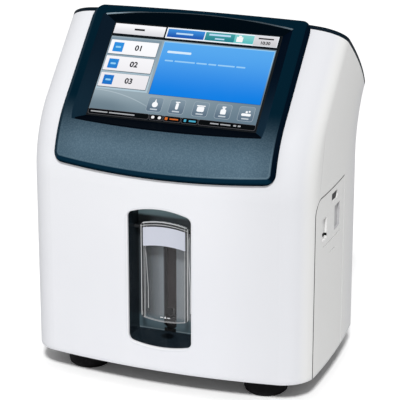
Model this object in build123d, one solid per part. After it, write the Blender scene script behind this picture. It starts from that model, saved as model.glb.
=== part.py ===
from build123d import *
from math import cos, hypot, pi, radians, sin, sqrt, tan
import os

# A bench-top electrolyte analyzer: leaning touch screen, sampler window, side door, printer.
# Millimetres. X to the viewer's right, Z up, and Y rearwards from the lowest front of the body.
# The finished pieces are moved along Y at the end, so that the whole object is centred.

# Body: one plan outline carried up a leaning line
HALF_W = 128.2          # widest half width
BASE_D = 178.0          # depth of the plan outline
BOW_R = 600.0           # bow of the front in plan
SIDE_R = 800.0          # bow of each side in plan
SIDE_Y = 55.0           # where the sides are widest
CORNER_R = 29.0         # front corners in plan
REAR_R = 18.0           # rear corners in plan
FOOT_GAP = 19.0         # underside of the body above the table
BEND_Z = 180.0          # the upright front starts to lean back here
BEND_R = 88.0           # radius of that bend in side view
LEAN = 43.6             # final lean from upright, degrees
WALL = 2.8              # moulded wall, measured level
ROOT = 0.5              # ribs and posts sink this far into a wall
SEAM = 0.4              # visible gap between covers
DOOR_GAP = 0.9          # visible gap before and above the side door
PLAY = 0.3              # gap between pieces that are pushed together
TOUCH = 0.05            # radial play of pins and shafts

# Sloping top
TOP_Z = 311.6           # top edge of the shell at the front, on the middle line
TOP_FALL = 36.2         # degrees
TOP_CROWN_R = 4000.0
TOP_THICK = 3.8         # top cover at its front edge
TOP_TAPER = 0.7         # it thins towards the rear by this angle
RIB = 2.0

# Split between front and rear covers
SPLIT_Y = BASE_D - 20.0
TONGUE = 6.0

# Picture, fascia and the bevelled well around the picture
SCREEN_W = 152.4        # active picture of a seven inch display
SCREEN_H = 91.44
SCREEN_UP = 41.7        # picture centre above the end of the bend, along the slope
SCREEN_DEEP = 9.0       # picture behind the face of the fascia
SCREEN_EDGE = 0.8       # margin beside the picture
GLASS_T = 1.6
PANEL_T = 6.0
BRACKET_T = 1.5
BRACKET_GAP = 0.4
BOSS_R = 3.5
BOSS_AT = (91.0, 40.0)
FASCIA_HALF = 99.8
FASCIA_Z0 = 195.0
FASCIA_Z1 = 312.2       # top edge at its corners
FASCIA_SAG = 4.0        # foot of the fascia is lower in the middle
FASCIA_RISE = 2.6
FASCIA_R = 9.0
FASCIA_PROUD = 4.0      # measured level
RIM_W = 4.5             # sloping rim around the fascia
RIM_PROUD = 1.4         # thickness left at its outside edge
WELL_WALL = 2.2
WELL_SIDE = 1.85        # run of the bevel for each millimetre of depth
WELL_TOP = 1.1
WELL_FOOT = 1.35
WELL_REACH = 13.0

# Sampler window and recess
WIN_HALF = 28.9
WIN_Z0 = 44.0           # lower corners
WIN_SAG = 3.8
WIN_Z1 = 159.0          # upper corners
WIN_RISE = 5.6
WIN_R = 6.0
LIP_R = 1.0
RECESS_D = 25.0         # rear wall of the recess
RECESS_STEP = 46.5      # its floor at the rear
RECESS_SILL = 41.0      # its floor at the front
LINER_T = 2.0
EAR_Z = (66.0, 140.0)
CHANNEL_W = 11.8        # upright channel for the probe
CHANNEL_Z = (48.5, 153.0)
SLOT_TOP = 137.5        # the channel is open towards the flap up to here
HOUSING_Y = 46.0        # rear of the probe's housing

# Sampler cover
COVER_HALF = 21.4
COVER_Z = (62.0, 147.0)
COVER_ARC = 2.8         # its ends arch outwards
COVER_Y = 12.4          # front face
COVER_T = 2.4
CHEEK_T = 2.0
CHEEK_DEEP = (6.0, 11.0)    # its side walls below the hinge and at the foot
CHEEK_Z = (66.0, 85.0, 124.0)
HINGE_Y = 17.5
HINGE_Z = 142.0
HINGE_EYE_R = 4.0
PIN_R = 1.5
LABEL_HALF = 19.4
LABEL_Z = (126.5, 143.2)
LABEL_RISE = 2.2
LABEL_T = 0.3

# Probe
PIVOT_Y = 34.0
PIVOT_Z = 139.0
HOLDER_W = 10.6
HOLDER_D = 9.0
HOLDER_Z = (66.0, 146.0)
NEEDLE_R = 0.8
NEEDLE_Z = 58.5
PORT_TOP = 57.5

# Side door, measured from its front and rear edges
DOOR_Y = (33.0, BASE_D - 61.0)
DOOR_Z1 = 176.0
DOOR_R = 13.0
DOOR_REAR_GAP = 1.2     # the rear edge swings inwards through this
DOOR_PAD = 6.5          # thickness around the pockets
PAD_Y = (DOOR_Y[0] + 11.0, DOOR_Y[1] - 11.0)
PAD_Z = (128.0, 174.0)
DOOR_HINGE_Y = DOOR_Y[1] - 14.0
EYE_R = 3.0
DOOR_EYE_R = 3.6
DOOR_EYE_H = 10.0
POCKET_DEEP = 2.0
CARD_Y = DOOR_Y[0] + 22.0
CARD_POCKET = ((CARD_Y - 6.0, CARD_Y + 6.5), (136.7, 156.0))
CARD_SLOT = ((CARD_Y - 4.5, CARD_Y + 5.0), (139.0, 142.0))
GRIP_POCKET = ((DOOR_Y[1] - 33.0, DOOR_Y[1] - 16.5), (136.5, 158.0))
GROOVE_Y = (DOOR_Y[0] + DOOR_Y[1] + 9.0) / 2
GROOVES = (((DOOR_Y[1] - DOOR_Y[0]) / 2 - 14.5, 131.0), (8.5, 120.5))  # half length and height
GROOVE = 0.8
LATCH_Y = (DOOR_Y[1] - 42.0, DOOR_Y[1] - 24.0)
LATCH_Z = 167.5
LATCH_H = 7.0
LATCH_SUNK = 1.5
LATCH_FLANGE = 1.6
LATCH_REST = 2.5        # its flange reaches this far beyond the button

# Base and feet
BASE_UP = 1.0           # base plate above the lower edge of the covers
BASE_T = 2.5
BASE_TOP = FOOT_GAP + BASE_UP + BASE_T
FOOT_X = HALF_W - 44.7
FOOT_IN = 39.5          # foot centres from the front and from the rear
FOOT_R = 19.2
FOOT_HOLE_R = 5.0
FOOT_SEAT = 8.0         # the screw head bears here, inside the foot
HEAD_T = 2.4
SCREW_R = 2.0
POST_R = 4.0
POST_X = HALF_W - 15.2
POST_Y = (25.0, BASE_D - 38.0)
POST_H = 14.0
HOLE_PLAY = 0.1         # radial room around a screw

# Reagent pack behind the side door
PACK_X = (HALF_W - 65.2, HALF_W - 28.2)
PACK_Y = (DOOR_Y[0] + 7.0, DOOR_Y[1] - 9.0)
PACK_Z = (26.0, 158.0)
CRADLE_H = 40.0
PACK_PORTS = 4
SHEET = 1.5             # folded sheet metal

# Tubing pump
PUMP_X = -78.0
PUMP_Z = 62.0
PUMP_HALF = 30.0
PUMP_Y = (36.0, 62.0)
TRACK_R = 24.2
TRACK_DEEP = 16.0
ROTOR_R = 18.0
ROTOR_T = 3.0
ROLLER_R = 4.0
ROLLER_AT = 15.4
ROLLERS = 3
TUBE_R = 2.0
SHAFT_R = 3.0
ROTOR_HOLES = 3
TUBE_WALL = 0.8
GEARBOX_R = 15.0
GEARBOX_L = 14.0
MOTOR_R = 13.0
MOTOR_L = 34.0          # with its gearbox

# Electrodes
CELL_X = (-112.0, -44.0)
CELL_Y = (46.0, 72.0)
CELL_Z = (112.0, 158.0)
ELECTRODES = 4
ELECTRODE_R = 6.0
ELECTRODE_L = 36.0
BORE_END = 8.0          # left behind the bores of the block
CELL_FLANGE = 9.0

# Valve block behind the probe
VALVE_X = 30.0
VALVE_Y = (62.0, 98.0)
VALVE_Z = (64.0, 104.0)
VALVES = 3
VALVE_R = 7.0
VALVE_H = 26.0

# Electronics and rear sockets
BOARD_T = 1.6
BOARD_X = 80.0
BOARD_Z = (78.0, 168.0)
STAND_L = 2.6
SUPPLY_X = (-104.0, -VALVE_X - 1.0)
SUPPLY_Y = (BASE_D - 66.0, BASE_D - 32.0)
SUPPLY_TOP = PUMP_Z - MOTOR_R - 1.0
SOCKET_Z = 50.0
INLET_X = -70.0
INLET_W = 28.0
INLET_H = 20.0
FLANGE_T = 2.0
FLANGE_W = 2.0
SWITCH_X = -36.0
SWITCH_W = 21.0
SWITCH_H = 16.0
ROCKER_R = 6.6
ROCKER_TILT = 8.0       # it rests this far off level
ROCKER_V = 12.0
PORT_X = 52.0
PORT_W = 78.0
PORT_H = 22.0
VENTS = 12

# Printer under the top
PRINT_X = 30.0
LID_HALF = 36.0
LID_A = (46.0, 104.0)   # along the slope from the front edge
LID_UNDER = 1.6         # lid's underside below the shell's top
BARREL_R = 3.7
ROLL_R = 21.0
ROLL_W = 57.0
ROLL_A = 76.0
ROLL_DEEP = 30.0
CORE_R = 6.0
TRAY_T = 2.0
TRAY_TOP = 14.0         # its upper edge below the top
PLATEN_R = 5.0
PLATEN_A = 53.5
PLATEN_DEEP = 7.8


def block(x, y, z):
    """A box between pairs of low and high values."""
    size = (x[1] - x[0], y[1] - y[0], z[1] - z[0])
    return Pos((x[0] + x[1]) / 2, (y[0] + y[1]) / 2, (z[0] + z[1]) / 2) * Box(*size)


def rod(axis, centre, radius, length):
    """A cylinder along a named axis, centred on a point."""
    turn = {"X": Rot(0, 90, 0), "Y": Rot(90, 0, 0), "Z": Rot(0, 0, 0)}[axis]
    return Pos(*centre) * turn * Cylinder(radius, length)


def rod_between(axis, point, span, radius):
    """A cylinder along a named axis between two values on it; point gives the other two."""
    mid = (span[0] + span[1]) / 2
    centre = {"X": (mid, *point), "Y": (point[0], mid, point[1]), "Z": (*point, mid)}[axis]
    return rod(axis, centre, radius, span[1] - span[0])


def around(value, half):
    return (value - half, value + half)


def paired(x, y):
    """Four spots, mirrored both ways about the middle."""
    return [(sx * x, sy * y) for sx in (-1, 1) for sy in (-1, 1)]


def mirrored(point):
    return (-point[0], point[1])


def along(centre, point, radius):
    """The point at a radius from a centre, in the direction of another point."""
    far = hypot(point[0] - centre[0], point[1] - centre[1])
    return tuple(c + (p - c) * radius / far for c, p in zip(centre, point))


def middle(centre, start, end, radius):
    """The middle of an arc."""
    return along(centre, ((start[0] + end[0]) / 2, (start[1] + end[1]) / 2), radius)


def front_corner_centre():
    """Centre of the plan's front corner, which touches the bow and the side's arc."""
    bow, side = (0, BOW_R), (HALF_W - SIDE_R, SIDE_Y)
    r1, r2 = BOW_R - CORNER_R, SIDE_R - CORNER_R
    dx, dy = side[0] - bow[0], side[1] - bow[1]
    d = hypot(dx, dy)
    a = (r1 * r1 - r2 * r2 + d * d) / (2 * d)
    h = sqrt(r1 * r1 - a * a)
    mid = (bow[0] + a * dx / d, bow[1] + a * dy / d)
    found = [(mid[0] + k * h * dy / d, mid[1] - k * h * dx / d) for k in (1, -1)]
    return min(found, key=lambda p: p[1])


def plan_face(inset):
    """The plan outline, drawn in by an inset."""
    bow, side = (0, BOW_R), (HALF_W - SIDE_R, SIDE_Y)
    c1 = front_corner_centre()
    c2_y = BASE_D - REAR_R
    c2 = (side[0] + sqrt((SIDE_R - REAR_R) ** 2 - (c2_y - SIDE_Y) ** 2), c2_y)
    p1 = along(bow, c1, BOW_R - inset)
    p2 = along(side, c1, SIDE_R - inset)
    p3 = along(side, c2, SIDE_R - inset)
    p4 = (c2[0], BASE_D - inset)
    corner = middle(c1, p1, p2, CORNER_R - inset)
    flank = middle(side, p2, p3, SIDE_R - inset)
    rear = middle(c2, p3, p4, REAR_R - inset)
    right = [(p1, corner, p2), (p2, flank, p3), (p3, rear, p4)]
    edges = [ThreePointArc(mirrored(p1), (0, inset), p1)]
    edges += [ThreePointArc(*arc) for arc in right]
    edges.append(Line(p4, mirrored(p4)))
    edges += [ThreePointArc(*(mirrored(p) for p in reversed(arc))) for arc in reversed(right)]
    return make_face(Wire(edges))


def side_x(y, inset=0.0):
    """Half width of the upright body at a distance from the front."""
    return HALF_W - SIDE_R + sqrt((SIDE_R - inset) ** 2 - (y - SIDE_Y) ** 2)


def bow_y(x):
    """How far the bowed front falls back at a distance from the middle."""
    return BOW_R - sqrt(BOW_R ** 2 - x ** 2)


def lean_y(z):
    """How far the front has leaned back at a height."""
    bend_top = BEND_R * sin(radians(LEAN))
    h = z - BEND_Z
    if h <= 0:
        return 0.0
    if h <= bend_top:
        return BEND_R - sqrt(BEND_R ** 2 - h ** 2)
    return BEND_R * (1 - cos(radians(LEAN))) + (h - bend_top) * tan(radians(LEAN))


def lean_path(z0, z1=345.0):
    """Side view of the front: upright, bend, slope."""
    half, full = radians(LEAN / 2), radians(LEAN)
    start = (0, 0, BEND_Z)
    mid = (0, BEND_R * (1 - cos(half)), BEND_Z + BEND_R * sin(half))
    end = (0, BEND_R * (1 - cos(full)), BEND_Z + BEND_R * sin(full))
    return Wire([Line((0, 0, z0), start), ThreePointArc(start, mid, end), Line(end, (0, lean_y(z1), z1))])


def carried(face, z0):
    """A plan face carried up the lean without turning."""
    return sweep(Pos(0, 0, z0) * face, path=lean_path(z0), normal=(0, 0, 1))


def body(inset=0.0, z0=FOOT_GAP):
    """Everything within the outer surface, drawn in by an inset."""
    return carried(plan_face(inset), z0)


def plan_zone(y0, y1):
    """The part of the body between two distances on its plan."""
    return carried(Pos(0, (y0 + y1) / 2) * Rectangle(3 * HALF_W, y1 - y0), FOOT_GAP - 10)


UNDER = FOOT_GAP - 5
OUTER = body()
INSIDE = body(WALL - ROOT)
SHELL = OUTER - body(WALL, UNDER)

TOP_Y = lean_y(TOP_Z)
FALL = Vector(0, cos(radians(TOP_FALL)), -sin(radians(TOP_FALL)))
TOP_OUT = Vector(0, sin(radians(TOP_FALL)), cos(radians(TOP_FALL)))


def below_top(raise_by=0.0, extra_fall=0.0):
    """Everything below the crowned, sloping top, raised along its normal."""
    fall = radians(TOP_FALL + extra_fall)
    run = Vector(0, cos(fall), -sin(fall))
    plane = Plane(origin=top_point(0, -raise_by) - run * 80, x_dir=(1, 0, 0), z_dir=run)
    half, depth = 1.5 * HALF_W, 420
    drop = TOP_CROWN_R - sqrt(TOP_CROWN_R ** 2 - half ** 2)
    crown = ThreePointArc((-half, drop), (0, 0), (half, drop))
    rest = Polyline((half, drop), (half, depth), (-half, depth), (-half, drop))
    return extrude(plane * make_face(Wire([crown, *rest.edges()])), 400)


def top_point(a, deep, x=0.0):
    """A point along the slope from the top's front edge, and below its surface."""
    return Vector(x, TOP_Y, TOP_Z) + FALL * a - TOP_OUT * deep


def top_block(x, a, deep):
    """A box laid under the sloping top, by ranges across, along and below it."""
    centre = top_point(sum(a) / 2, sum(deep) / 2, sum(x) / 2)
    plane = Plane(origin=centre, x_dir=(1, 0, 0), z_dir=TOP_OUT)
    return plane * Box(x[1] - x[0], a[1] - a[0], deep[1] - deep[0])


def top_rod(x, a, deep, radius):
    """A cylinder across the object, under the sloping top."""
    at = top_point(a, deep)
    return rod_between("X", (at.Y, at.Z), x, radius)


def top_surface():
    """Everything below the upper face of the top cover."""
    return below_top(TOP_THICK, TOP_TAPER)


# Picture plane: its origin is the middle of the picture and its Z points at the user
BEND_TOP = BEND_Z + BEND_R * sin(radians(LEAN))
SLOPE_UP = Vector(0, sin(radians(LEAN)), cos(radians(LEAN)))
SLOPE_OUT = Vector(0, -cos(radians(LEAN)), sin(radians(LEAN)))
SCREEN_AT = Vector(0, lean_y(BEND_TOP), BEND_TOP) + SLOPE_UP * SCREEN_UP
SCREEN_AT += SLOPE_OUT * (FASCIA_PROUD * cos(radians(LEAN)) - SCREEN_DEEP)
SCREEN_PLANE = Plane(origin=SCREEN_AT, x_dir=(1, 0, 0), z_dir=SLOPE_OUT)
WELL_HALF = (SCREEN_W / 2 + SCREEN_EDGE, SCREEN_H / 2 + SCREEN_EDGE)
GLASS_HALF = (WELL_HALF[0] + WELL_WALL, WELL_HALF[1] + WELL_WALL)
PANEL_BACK = -GLASS_T - PANEL_T
BRACKET_FACE = PANEL_BACK - BRACKET_GAP


def screen_block(half, z, at=(0, 0)):
    """A box on the picture plane, by half sizes and a range of height."""
    size = (2 * half[0], 2 * half[1], z[1] - z[0])
    return SCREEN_PLANE * Pos(at[0], at[1], (z[0] + z[1]) / 2) * Box(*size)


def screen_rod(at, radius, z):
    return SCREEN_PLANE * Pos(at[0], at[1], (z[0] + z[1]) / 2) * Cylinder(radius, z[1] - z[0])


def well(grow, z0=0.0):
    """The widening well around the picture, grown by a wall, with a straight foot below z 0."""
    half = (WELL_HALF[0] + grow, WELL_HALF[1] + grow)
    tall = 2 * half[1] + WELL_REACH * (WELL_TOP + WELL_FOOT)
    shift = WELL_REACH * (WELL_TOP - WELL_FOOT) / 2
    inner = SCREEN_PLANE * Rectangle(2 * half[0], 2 * half[1])
    wide = 2 * (half[0] + WELL_REACH * WELL_SIDE)
    outer = SCREEN_PLANE * Pos(0, shift, WELL_REACH) * Rectangle(wide, tall)
    solid = loft([inner, outer])
    if z0 < 0:
        solid += screen_block(half, (z0, 0.01))
    return solid


def arched(half, z0, sag, z1, rise, radius):
    """A face in front view at Y zero: sagging foot, arched top, round corners."""
    foot = ThreePointArc((-half, z0), (0, z0 - sag), (half, z0)) if sag else Line((-half, z0), (half, z0))
    top = ThreePointArc((half, z1), (0, z1 + rise), (-half, z1)) if rise else Line((half, z1), (-half, z1))
    face = make_face(Wire([foot, Line((half, z0), (half, z1)), top, Line((-half, z1), (-half, z0))]))
    if radius:
        face = fillet(face.vertices(), radius)
    return Plane(origin=(0, 0, 0), x_dir=(1, 0, 0), z_dir=(0, -1, 0)) * face


def through(face, y):
    """A front-view face made solid between two distances from the front."""
    return extrude(Pos(0, y[0], 0) * face, y[1] - y[0], dir=(0, 1, 0))


def side_solid(points, x):
    """A side-view polygon of (y, z) points made solid between two values of X."""
    face = Plane.YZ * make_face(Polyline(*points, close=True))
    return extrude(Pos(x[0], 0, 0) * face, x[1] - x[0], dir=(1, 0, 0))


def window(grow=0.0):
    return arched(WIN_HALF + grow, WIN_Z0 - grow, WIN_SAG, WIN_Z1 + grow, WIN_RISE, WIN_R + grow)


def fascia_outline(inset=0.0):
    half, z0, z1 = FASCIA_HALF - inset, FASCIA_Z0 + inset, FASCIA_Z1 - inset
    return through(arched(half, z0, FASCIA_SAG, z1, FASCIA_RISE, FASCIA_R - inset), (-20, 130))


FLANK_X = (HALF_W - 27, HALF_W + 13)


def door_solid(grow, rear):
    """The side door's outline carried across the wall."""
    y0, z1 = DOOR_Y[0] - grow, DOOR_Z1 + grow
    face = Plane.YZ * make_face(Polyline((y0, UNDER), (rear, UNDER), (rear, z1), (y0, z1), close=True))
    corner = face.vertices().sort_by(Axis.Z)[-2:].sort_by(Axis.Y)[0]
    face = fillet(corner, DOOR_R + grow)
    return extrude(Pos(FLANK_X[0], 0, 0) * face, FLANK_X[1] - FLANK_X[0], dir=(1, 0, 0))


def flank_block(y, z):
    """A box right through the flank and what lies close behind it."""
    return block(FLANK_X, y, z)


def door_axis(z, radius):
    """A cylinder on the side door's hinge line."""
    return rod_between("Z", (DOOR_HINGE_X, DOOR_HINGE_Y), z, radius)


def post_spots():
    return [(sign * POST_X, y) for y in POST_Y for sign in (-1, 1)]


def cover_posts():
    """Posts at the foot of the front cover, for screws from below."""
    posts = []
    z = (BASE_TOP, BASE_TOP + POST_H)
    for x, y in post_spots():
        wall = (HALF_W + 5) * x / POST_X
        web = block(sorted((x, wall)), around(y, RIB * 0.75), z)
        posts.append((rod_between("Z", (x, y), z, POST_R) + web) & INSIDE)
    return posts


EAR_X = WIN_HALF + LINER_T + 7
EAR_Y = WALL + 6
EAR_R = 4.0
EAR_POST_R = 3.0


def ear_spots():
    return [(sign * EAR_X, z) for sign in (-1, 1) for z in EAR_Z]


DOOR_HINGE_X = side_x(DOOR_HINGE_Y) - WALL - EYE_R - PLAY
TOP_EYE_Z = (DOOR_Z1 + 0.8, DOOR_Z1 + 8)
DOOR_EYES_Z = ((BASE_TOP + 5, BASE_TOP + 16), (DOOR_Z1 - DOOR_EYE_H, DOOR_Z1))


def front_cover():
    """Front and both flanks in one moulding."""
    cover = (SHELL & below_top()) - plan_zone(SPLIT_Y, BASE_D + 20)
    cover -= through(window(), (-20, 20))
    cover = fillet([e for e in cover.edges() if is_window_lip(e)], LIP_R)
    cover -= well(WELL_WALL + PLAY, -30)
    cover -= block((-70, 70), (TOP_Y - 12, TOP_Y + 12), (TOP_Z - 5, TOP_Z + 5))
    cover -= door_solid(DOOR_GAP, DOOR_Y[1] + DOOR_REAR_GAP)
    shelf = block((DOOR_HINGE_X - 5, HALF_W + 5), around(DOOR_HINGE_Y, 5), TOP_EYE_Z) & INSIDE
    cover += shelf
    cover -= door_axis((TOP_EYE_Z[0] - 1, TOP_EYE_Z[1] + 1), PIN_R + TOUCH)
    for spot in paired(*BOSS_AT):
        cover += screen_rod(spot, BOSS_R, (BRACKET_FACE, 5)) & INSIDE
    for x, z in ear_spots():
        cover += rod_between("Y", (x, z), (0, EAR_Y), EAR_POST_R) & INSIDE
    return cover + cover_posts()


def is_window_lip(edge):
    """Whether an edge lies on the outer rim of the sampler window."""
    box = edge.bounding_box()
    low, high = WIN_Z0 - WIN_SAG - 1, WIN_Z1 + WIN_RISE + 1
    near = box.max.Y < bow_y(WIN_HALF) + 0.3
    return near and box.min.Z > low and box.max.Z < high and max(-box.min.X, box.max.X) < WIN_HALF + 1


def rear_screw_spots():
    return [(sx * REAR_SCREWS[0], z) for sx in (-1, 1) for z in REAR_SCREWS[1]]


def board_spots():
    return [(sx * (BOARD_X - 6), z) for sx in (-1, 1) for z in (BOARD_Z[0] + 6, BOARD_Z[1] - 6)]


REAR_IN = BASE_D - WALL
REAR_SCREWS = (100.0, (32.0, 110.0, 168.0))
VENT = (2.4, 8.0, (98.0, 138.0))    # width, pitch and heights of the vent slots
PAN_R = 3.0
PAN_H = 1.8
BOARD_Y = (REAR_IN - STAND_L - BOARD_T, REAR_IN - STAND_L)


def rear_cover():
    """Rear wall with its corners, and a tongue inside the front cover."""
    cover = (SHELL & plan_zone(SPLIT_Y + SEAM, BASE_D + 20)) & below_top()
    inner = body(WALL + PLAY + RIB, UNDER)
    tongue = (body(WALL + PLAY) - inner) & plan_zone(SPLIT_Y - TONGUE, SPLIT_Y + TONGUE)
    root = (body(WALL - ROOT) - inner) & plan_zone(SPLIT_Y + 1, SPLIT_Y + TONGUE)
    cover += (tongue + root) & below_top(-8) & block((-200, 200), (0, 400), (BASE_TOP + 2, 400))
    deep = (BASE_D - 20, BASE_D + 10)
    cover -= block(around(INLET_X, INLET_W / 2 + PLAY), deep, around(SOCKET_Z, INLET_H / 2 + PLAY))
    cover -= block(around(SWITCH_X, SWITCH_W / 2 + PLAY), deep, around(SOCKET_Z, SWITCH_H / 2 + PLAY))
    cover -= block(around(PORT_X, PORT_W / 2), deep, around(SOCKET_Z, PORT_H / 2))
    for i in range(VENTS):
        cover -= block(around((i - (VENTS - 1) / 2) * VENT[1], VENT[0] / 2), deep, VENT[2])
    for x, z in rear_screw_spots():
        cover -= rod_between("Y", (x, z), deep, SCREW_R + HOLE_PLAY)
    for x, z in board_spots():
        cover += rod_between("Y", (x, z), (REAR_IN - STAND_L, REAR_IN + ROOT), POST_R)
    return cover


def rear_screws():
    """Pan-head screws with a cross recess in the rear wall."""
    screws = []
    for x, z in rear_screw_spots():
        screw = rod_between("Y", (x, z), (BASE_D - 8, BASE_D), SCREW_R)
        screw += rod_between("Y", (x, z), (BASE_D, BASE_D + 1.8), 3.8)
        cross = (BASE_D + 0.9, BASE_D + 2)
        screw -= block(around(x, 0.5), cross, around(z, 2.2))
        screw -= block(around(x, 2.2), cross, around(z, 0.5))
        screws.append(screw)
    return Compound(screws)


BARREL_A = LID_A[1] - BARREL_R
BARREL_DEEP = BARREL_R - TOP_THICK + tan(radians(TOP_TAPER)) * BARREL_A
LID_X = around(PRINT_X, LID_HALF)


def top_cover():
    """Dark plate on the sloping top, with the printer's opening and its hinge lugs."""
    plate = OUTER & (top_surface() - below_top())
    ring = (body(WALL + PLAY) - body(WALL + PLAY + RIB, UNDER)) & (below_top(ROOT) - below_top(-5))
    plate += ring - top_block((-200, 200), (-30, 12), (-10, 20)) - plan_zone(SPLIT_Y - 12, BASE_D)
    plate -= top_block(around(PRINT_X, LID_HALF + SEAM), (LID_A[0] - SEAM, LID_A[1] + SEAM), (-20, 20))
    for sign in (-1, 1):
        x = sorted(PRINT_X + sign * (LID_HALF + SEAM + d) for d in (0, 4))
        lug = top_block(x, around(BARREL_A, 4), (-1, BARREL_DEEP + 4))
        plate += lug & top_surface()
    plate -= top_rod(around(PRINT_X, LID_HALF + 6), BARREL_A, BARREL_DEEP, PIN_R + TOUCH)
    return plate - well(WELL_WALL + PLAY)


def printer_lid():
    """Lid over the paper roll: a plate, a hinge barrel and two cheeks for the platen."""
    lid = top_block(LID_X, (LID_A[0], BARREL_A), (-20, LID_UNDER))
    lid += top_rod(LID_X, BARREL_A, BARREL_DEEP, BARREL_R)
    lid &= top_surface()
    for sign in (-1, 1):
        x = sorted(PRINT_X + sign * (LID_HALF - d) for d in (2, 4))
        lid += top_block(x, (LID_A[0] + 2, BARREL_A - 4), (LID_UNDER - 0.2, PLATEN_DEEP + 3.5))
    lid -= top_rod(around(PRINT_X, LID_HALF + 1), PLATEN_A, PLATEN_DEEP, PIN_R + TOUCH)
    return lid - top_rod(around(PRINT_X, LID_HALF + 1), BARREL_A, BARREL_DEEP, PIN_R + TOUCH)


def printer_lid_pins():
    pins = []
    for sign in (-1, 1):
        x = sorted(PRINT_X + sign * (LID_HALF + d) for d in (-6, 4))
        pins.append(top_rod(x, BARREL_A, BARREL_DEEP, PIN_R))
    return Compound(pins)


def platen_roller():
    """Rubber roller on its shaft, carried by the lid."""
    roller = top_rod(around(PRINT_X, LID_HALF - 4 - PLAY), PLATEN_A, PLATEN_DEEP, PLATEN_R)
    return roller + top_rod(around(PRINT_X, LID_HALF - 2), PLATEN_A, PLATEN_DEEP, PIN_R)


def printer_mechanism():
    """Thermal head and gears in front of the platen, hung from the top."""
    head = top_block(around(PRINT_X, 30), (20, PLATEN_A - PLATEN_R - PLAY - 1), (4, 22))
    head -= top_block(around(PRINT_X, 26), (15, 26), (9, 30))
    edge = top_block(around(PRINT_X, 27), (PLATEN_A - PLATEN_R - 3, PLATEN_A - PLATEN_R - PLAY), (5, 10))
    hangers = [top_block(around(PRINT_X + sx * 24, 3), (28, 34), (-1, 5)) for sx in (-1, 1)]
    return (head + edge + hangers) & below_top()


def paper_roll():
    roll = top_rod(around(PRINT_X, ROLL_W / 2), ROLL_A, ROLL_DEEP, ROLL_R)
    return roll - top_rod(around(PRINT_X, ROLL_W), ROLL_A, ROLL_DEEP, CORE_R)


def printer_tray():
    """Bucket for the paper roll, hung from the top by two ears."""
    half, reach = ROLL_W / 2 + PLAY + 0.2, ROLL_R + 0.5
    a = around(ROLL_A, reach + TRAY_T)
    tray = top_block(around(PRINT_X, half + TRAY_T), a, (TRAY_TOP, ROLL_DEEP + reach + TRAY_T))
    tray -= top_block(around(PRINT_X, half), around(ROLL_A, reach), (0, ROLL_DEEP))
    tray -= top_rod(around(PRINT_X, half), ROLL_A, ROLL_DEEP, reach)
    for sign in (-1, 1):
        shelf = sorted(PRINT_X + sign * d for d in (half, 44))
        tray += top_block(shelf, (62, 90), (TRAY_TOP, TRAY_TOP + 2))
        wall = sorted(PRINT_X + sign * d for d in (40, 44))
        tray += top_block(wall, (62, 90), (-2, TRAY_TOP + 2))
    return tray & below_top()


def display_fascia():
    """Framed face around the picture: sloping rim, face and bevelled well."""
    step = 4
    face = OUTER.intersect(fascia_outline())
    proud = (body(-RIM_PROUD) & fascia_outline())
    for i in range(1, step + 1):
        part = i / step
        lift = RIM_PROUD + (FASCIA_PROUD - RIM_PROUD) * sin(radians(90 * part))
        proud += body(-lift) & fascia_outline(RIM_W * (1 - cos(radians(90 * part))))
    funnel = well(WELL_WALL) & body(-FASCIA_PROUD) & fascia_outline(RIM_W)
    return (proud - face) + funnel - well(0)


def display_glass():
    """Touch glass behind the rim of the well."""
    return screen_block(GLASS_HALF, (-GLASS_T, 0))


def lcd_module():
    """Display panel behind the glass."""
    return screen_block((GLASS_HALF[0] + 1.5, GLASS_HALF[1] + 2), (PANEL_BACK, -GLASS_T))


def display_bracket():
    """Sheet behind the panel, screwed to four bosses."""
    half = (BOSS_AT[0] + 4.5, GLASS_HALF[1] + 5)
    plate = screen_block(half, (BRACKET_FACE - BRACKET_T, BRACKET_FACE))
    for x in (-45, 0, 45):
        plate -= screen_block((14, 22), (BRACKET_FACE - 5, BRACKET_FACE + 1), (x, 0))
    return plate


def bracket_screws():
    back = BRACKET_FACE - BRACKET_T
    return Compound([screen_rod(spot, PAN_R, (back - PAN_H, back)) for spot in paired(*BOSS_AT)])


def recess_liner():
    """Lining of the sampler recess, with a sloping floor and a channel for the probe."""
    shell = through(window(LINER_T), (0, RECESS_D + LINER_T)) - through(window(), (-5, RECESS_D))
    low = WIN_Z0 - WIN_SAG - LINER_T
    rear = RECESS_D + 1
    wedge = [(0, low), (rear, low), (rear, RECESS_STEP), (WALL, RECESS_SILL), (0, RECESS_SILL)]
    shell += side_solid(wedge, (-WIN_HALF, WIN_HALF)) & through(window(LINER_T / 2), (0, rear))
    for x, z in ear_spots():
        ear = block(sorted((x, (WIN_HALF + 1) * x / EAR_X)), (EAR_Y, EAR_Y + LINER_T), around(z, EAR_R))
        shell += ear + rod_between("Y", (x, z), (EAR_Y, EAR_Y + LINER_T), EAR_R)
    channel = arched(CHANNEL_W / 2, CHANNEL_Z[0] + 3, 3, SLOT_TOP, 0, 0)
    shell -= through(channel, (RECESS_D - 5, RECESS_D + 5))
    shell -= rod_between("X", (HINGE_Y, HINGE_Z), around(0, WIN_HALF + 5), PIN_R + TOUCH)
    return shell & body(WALL)


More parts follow.
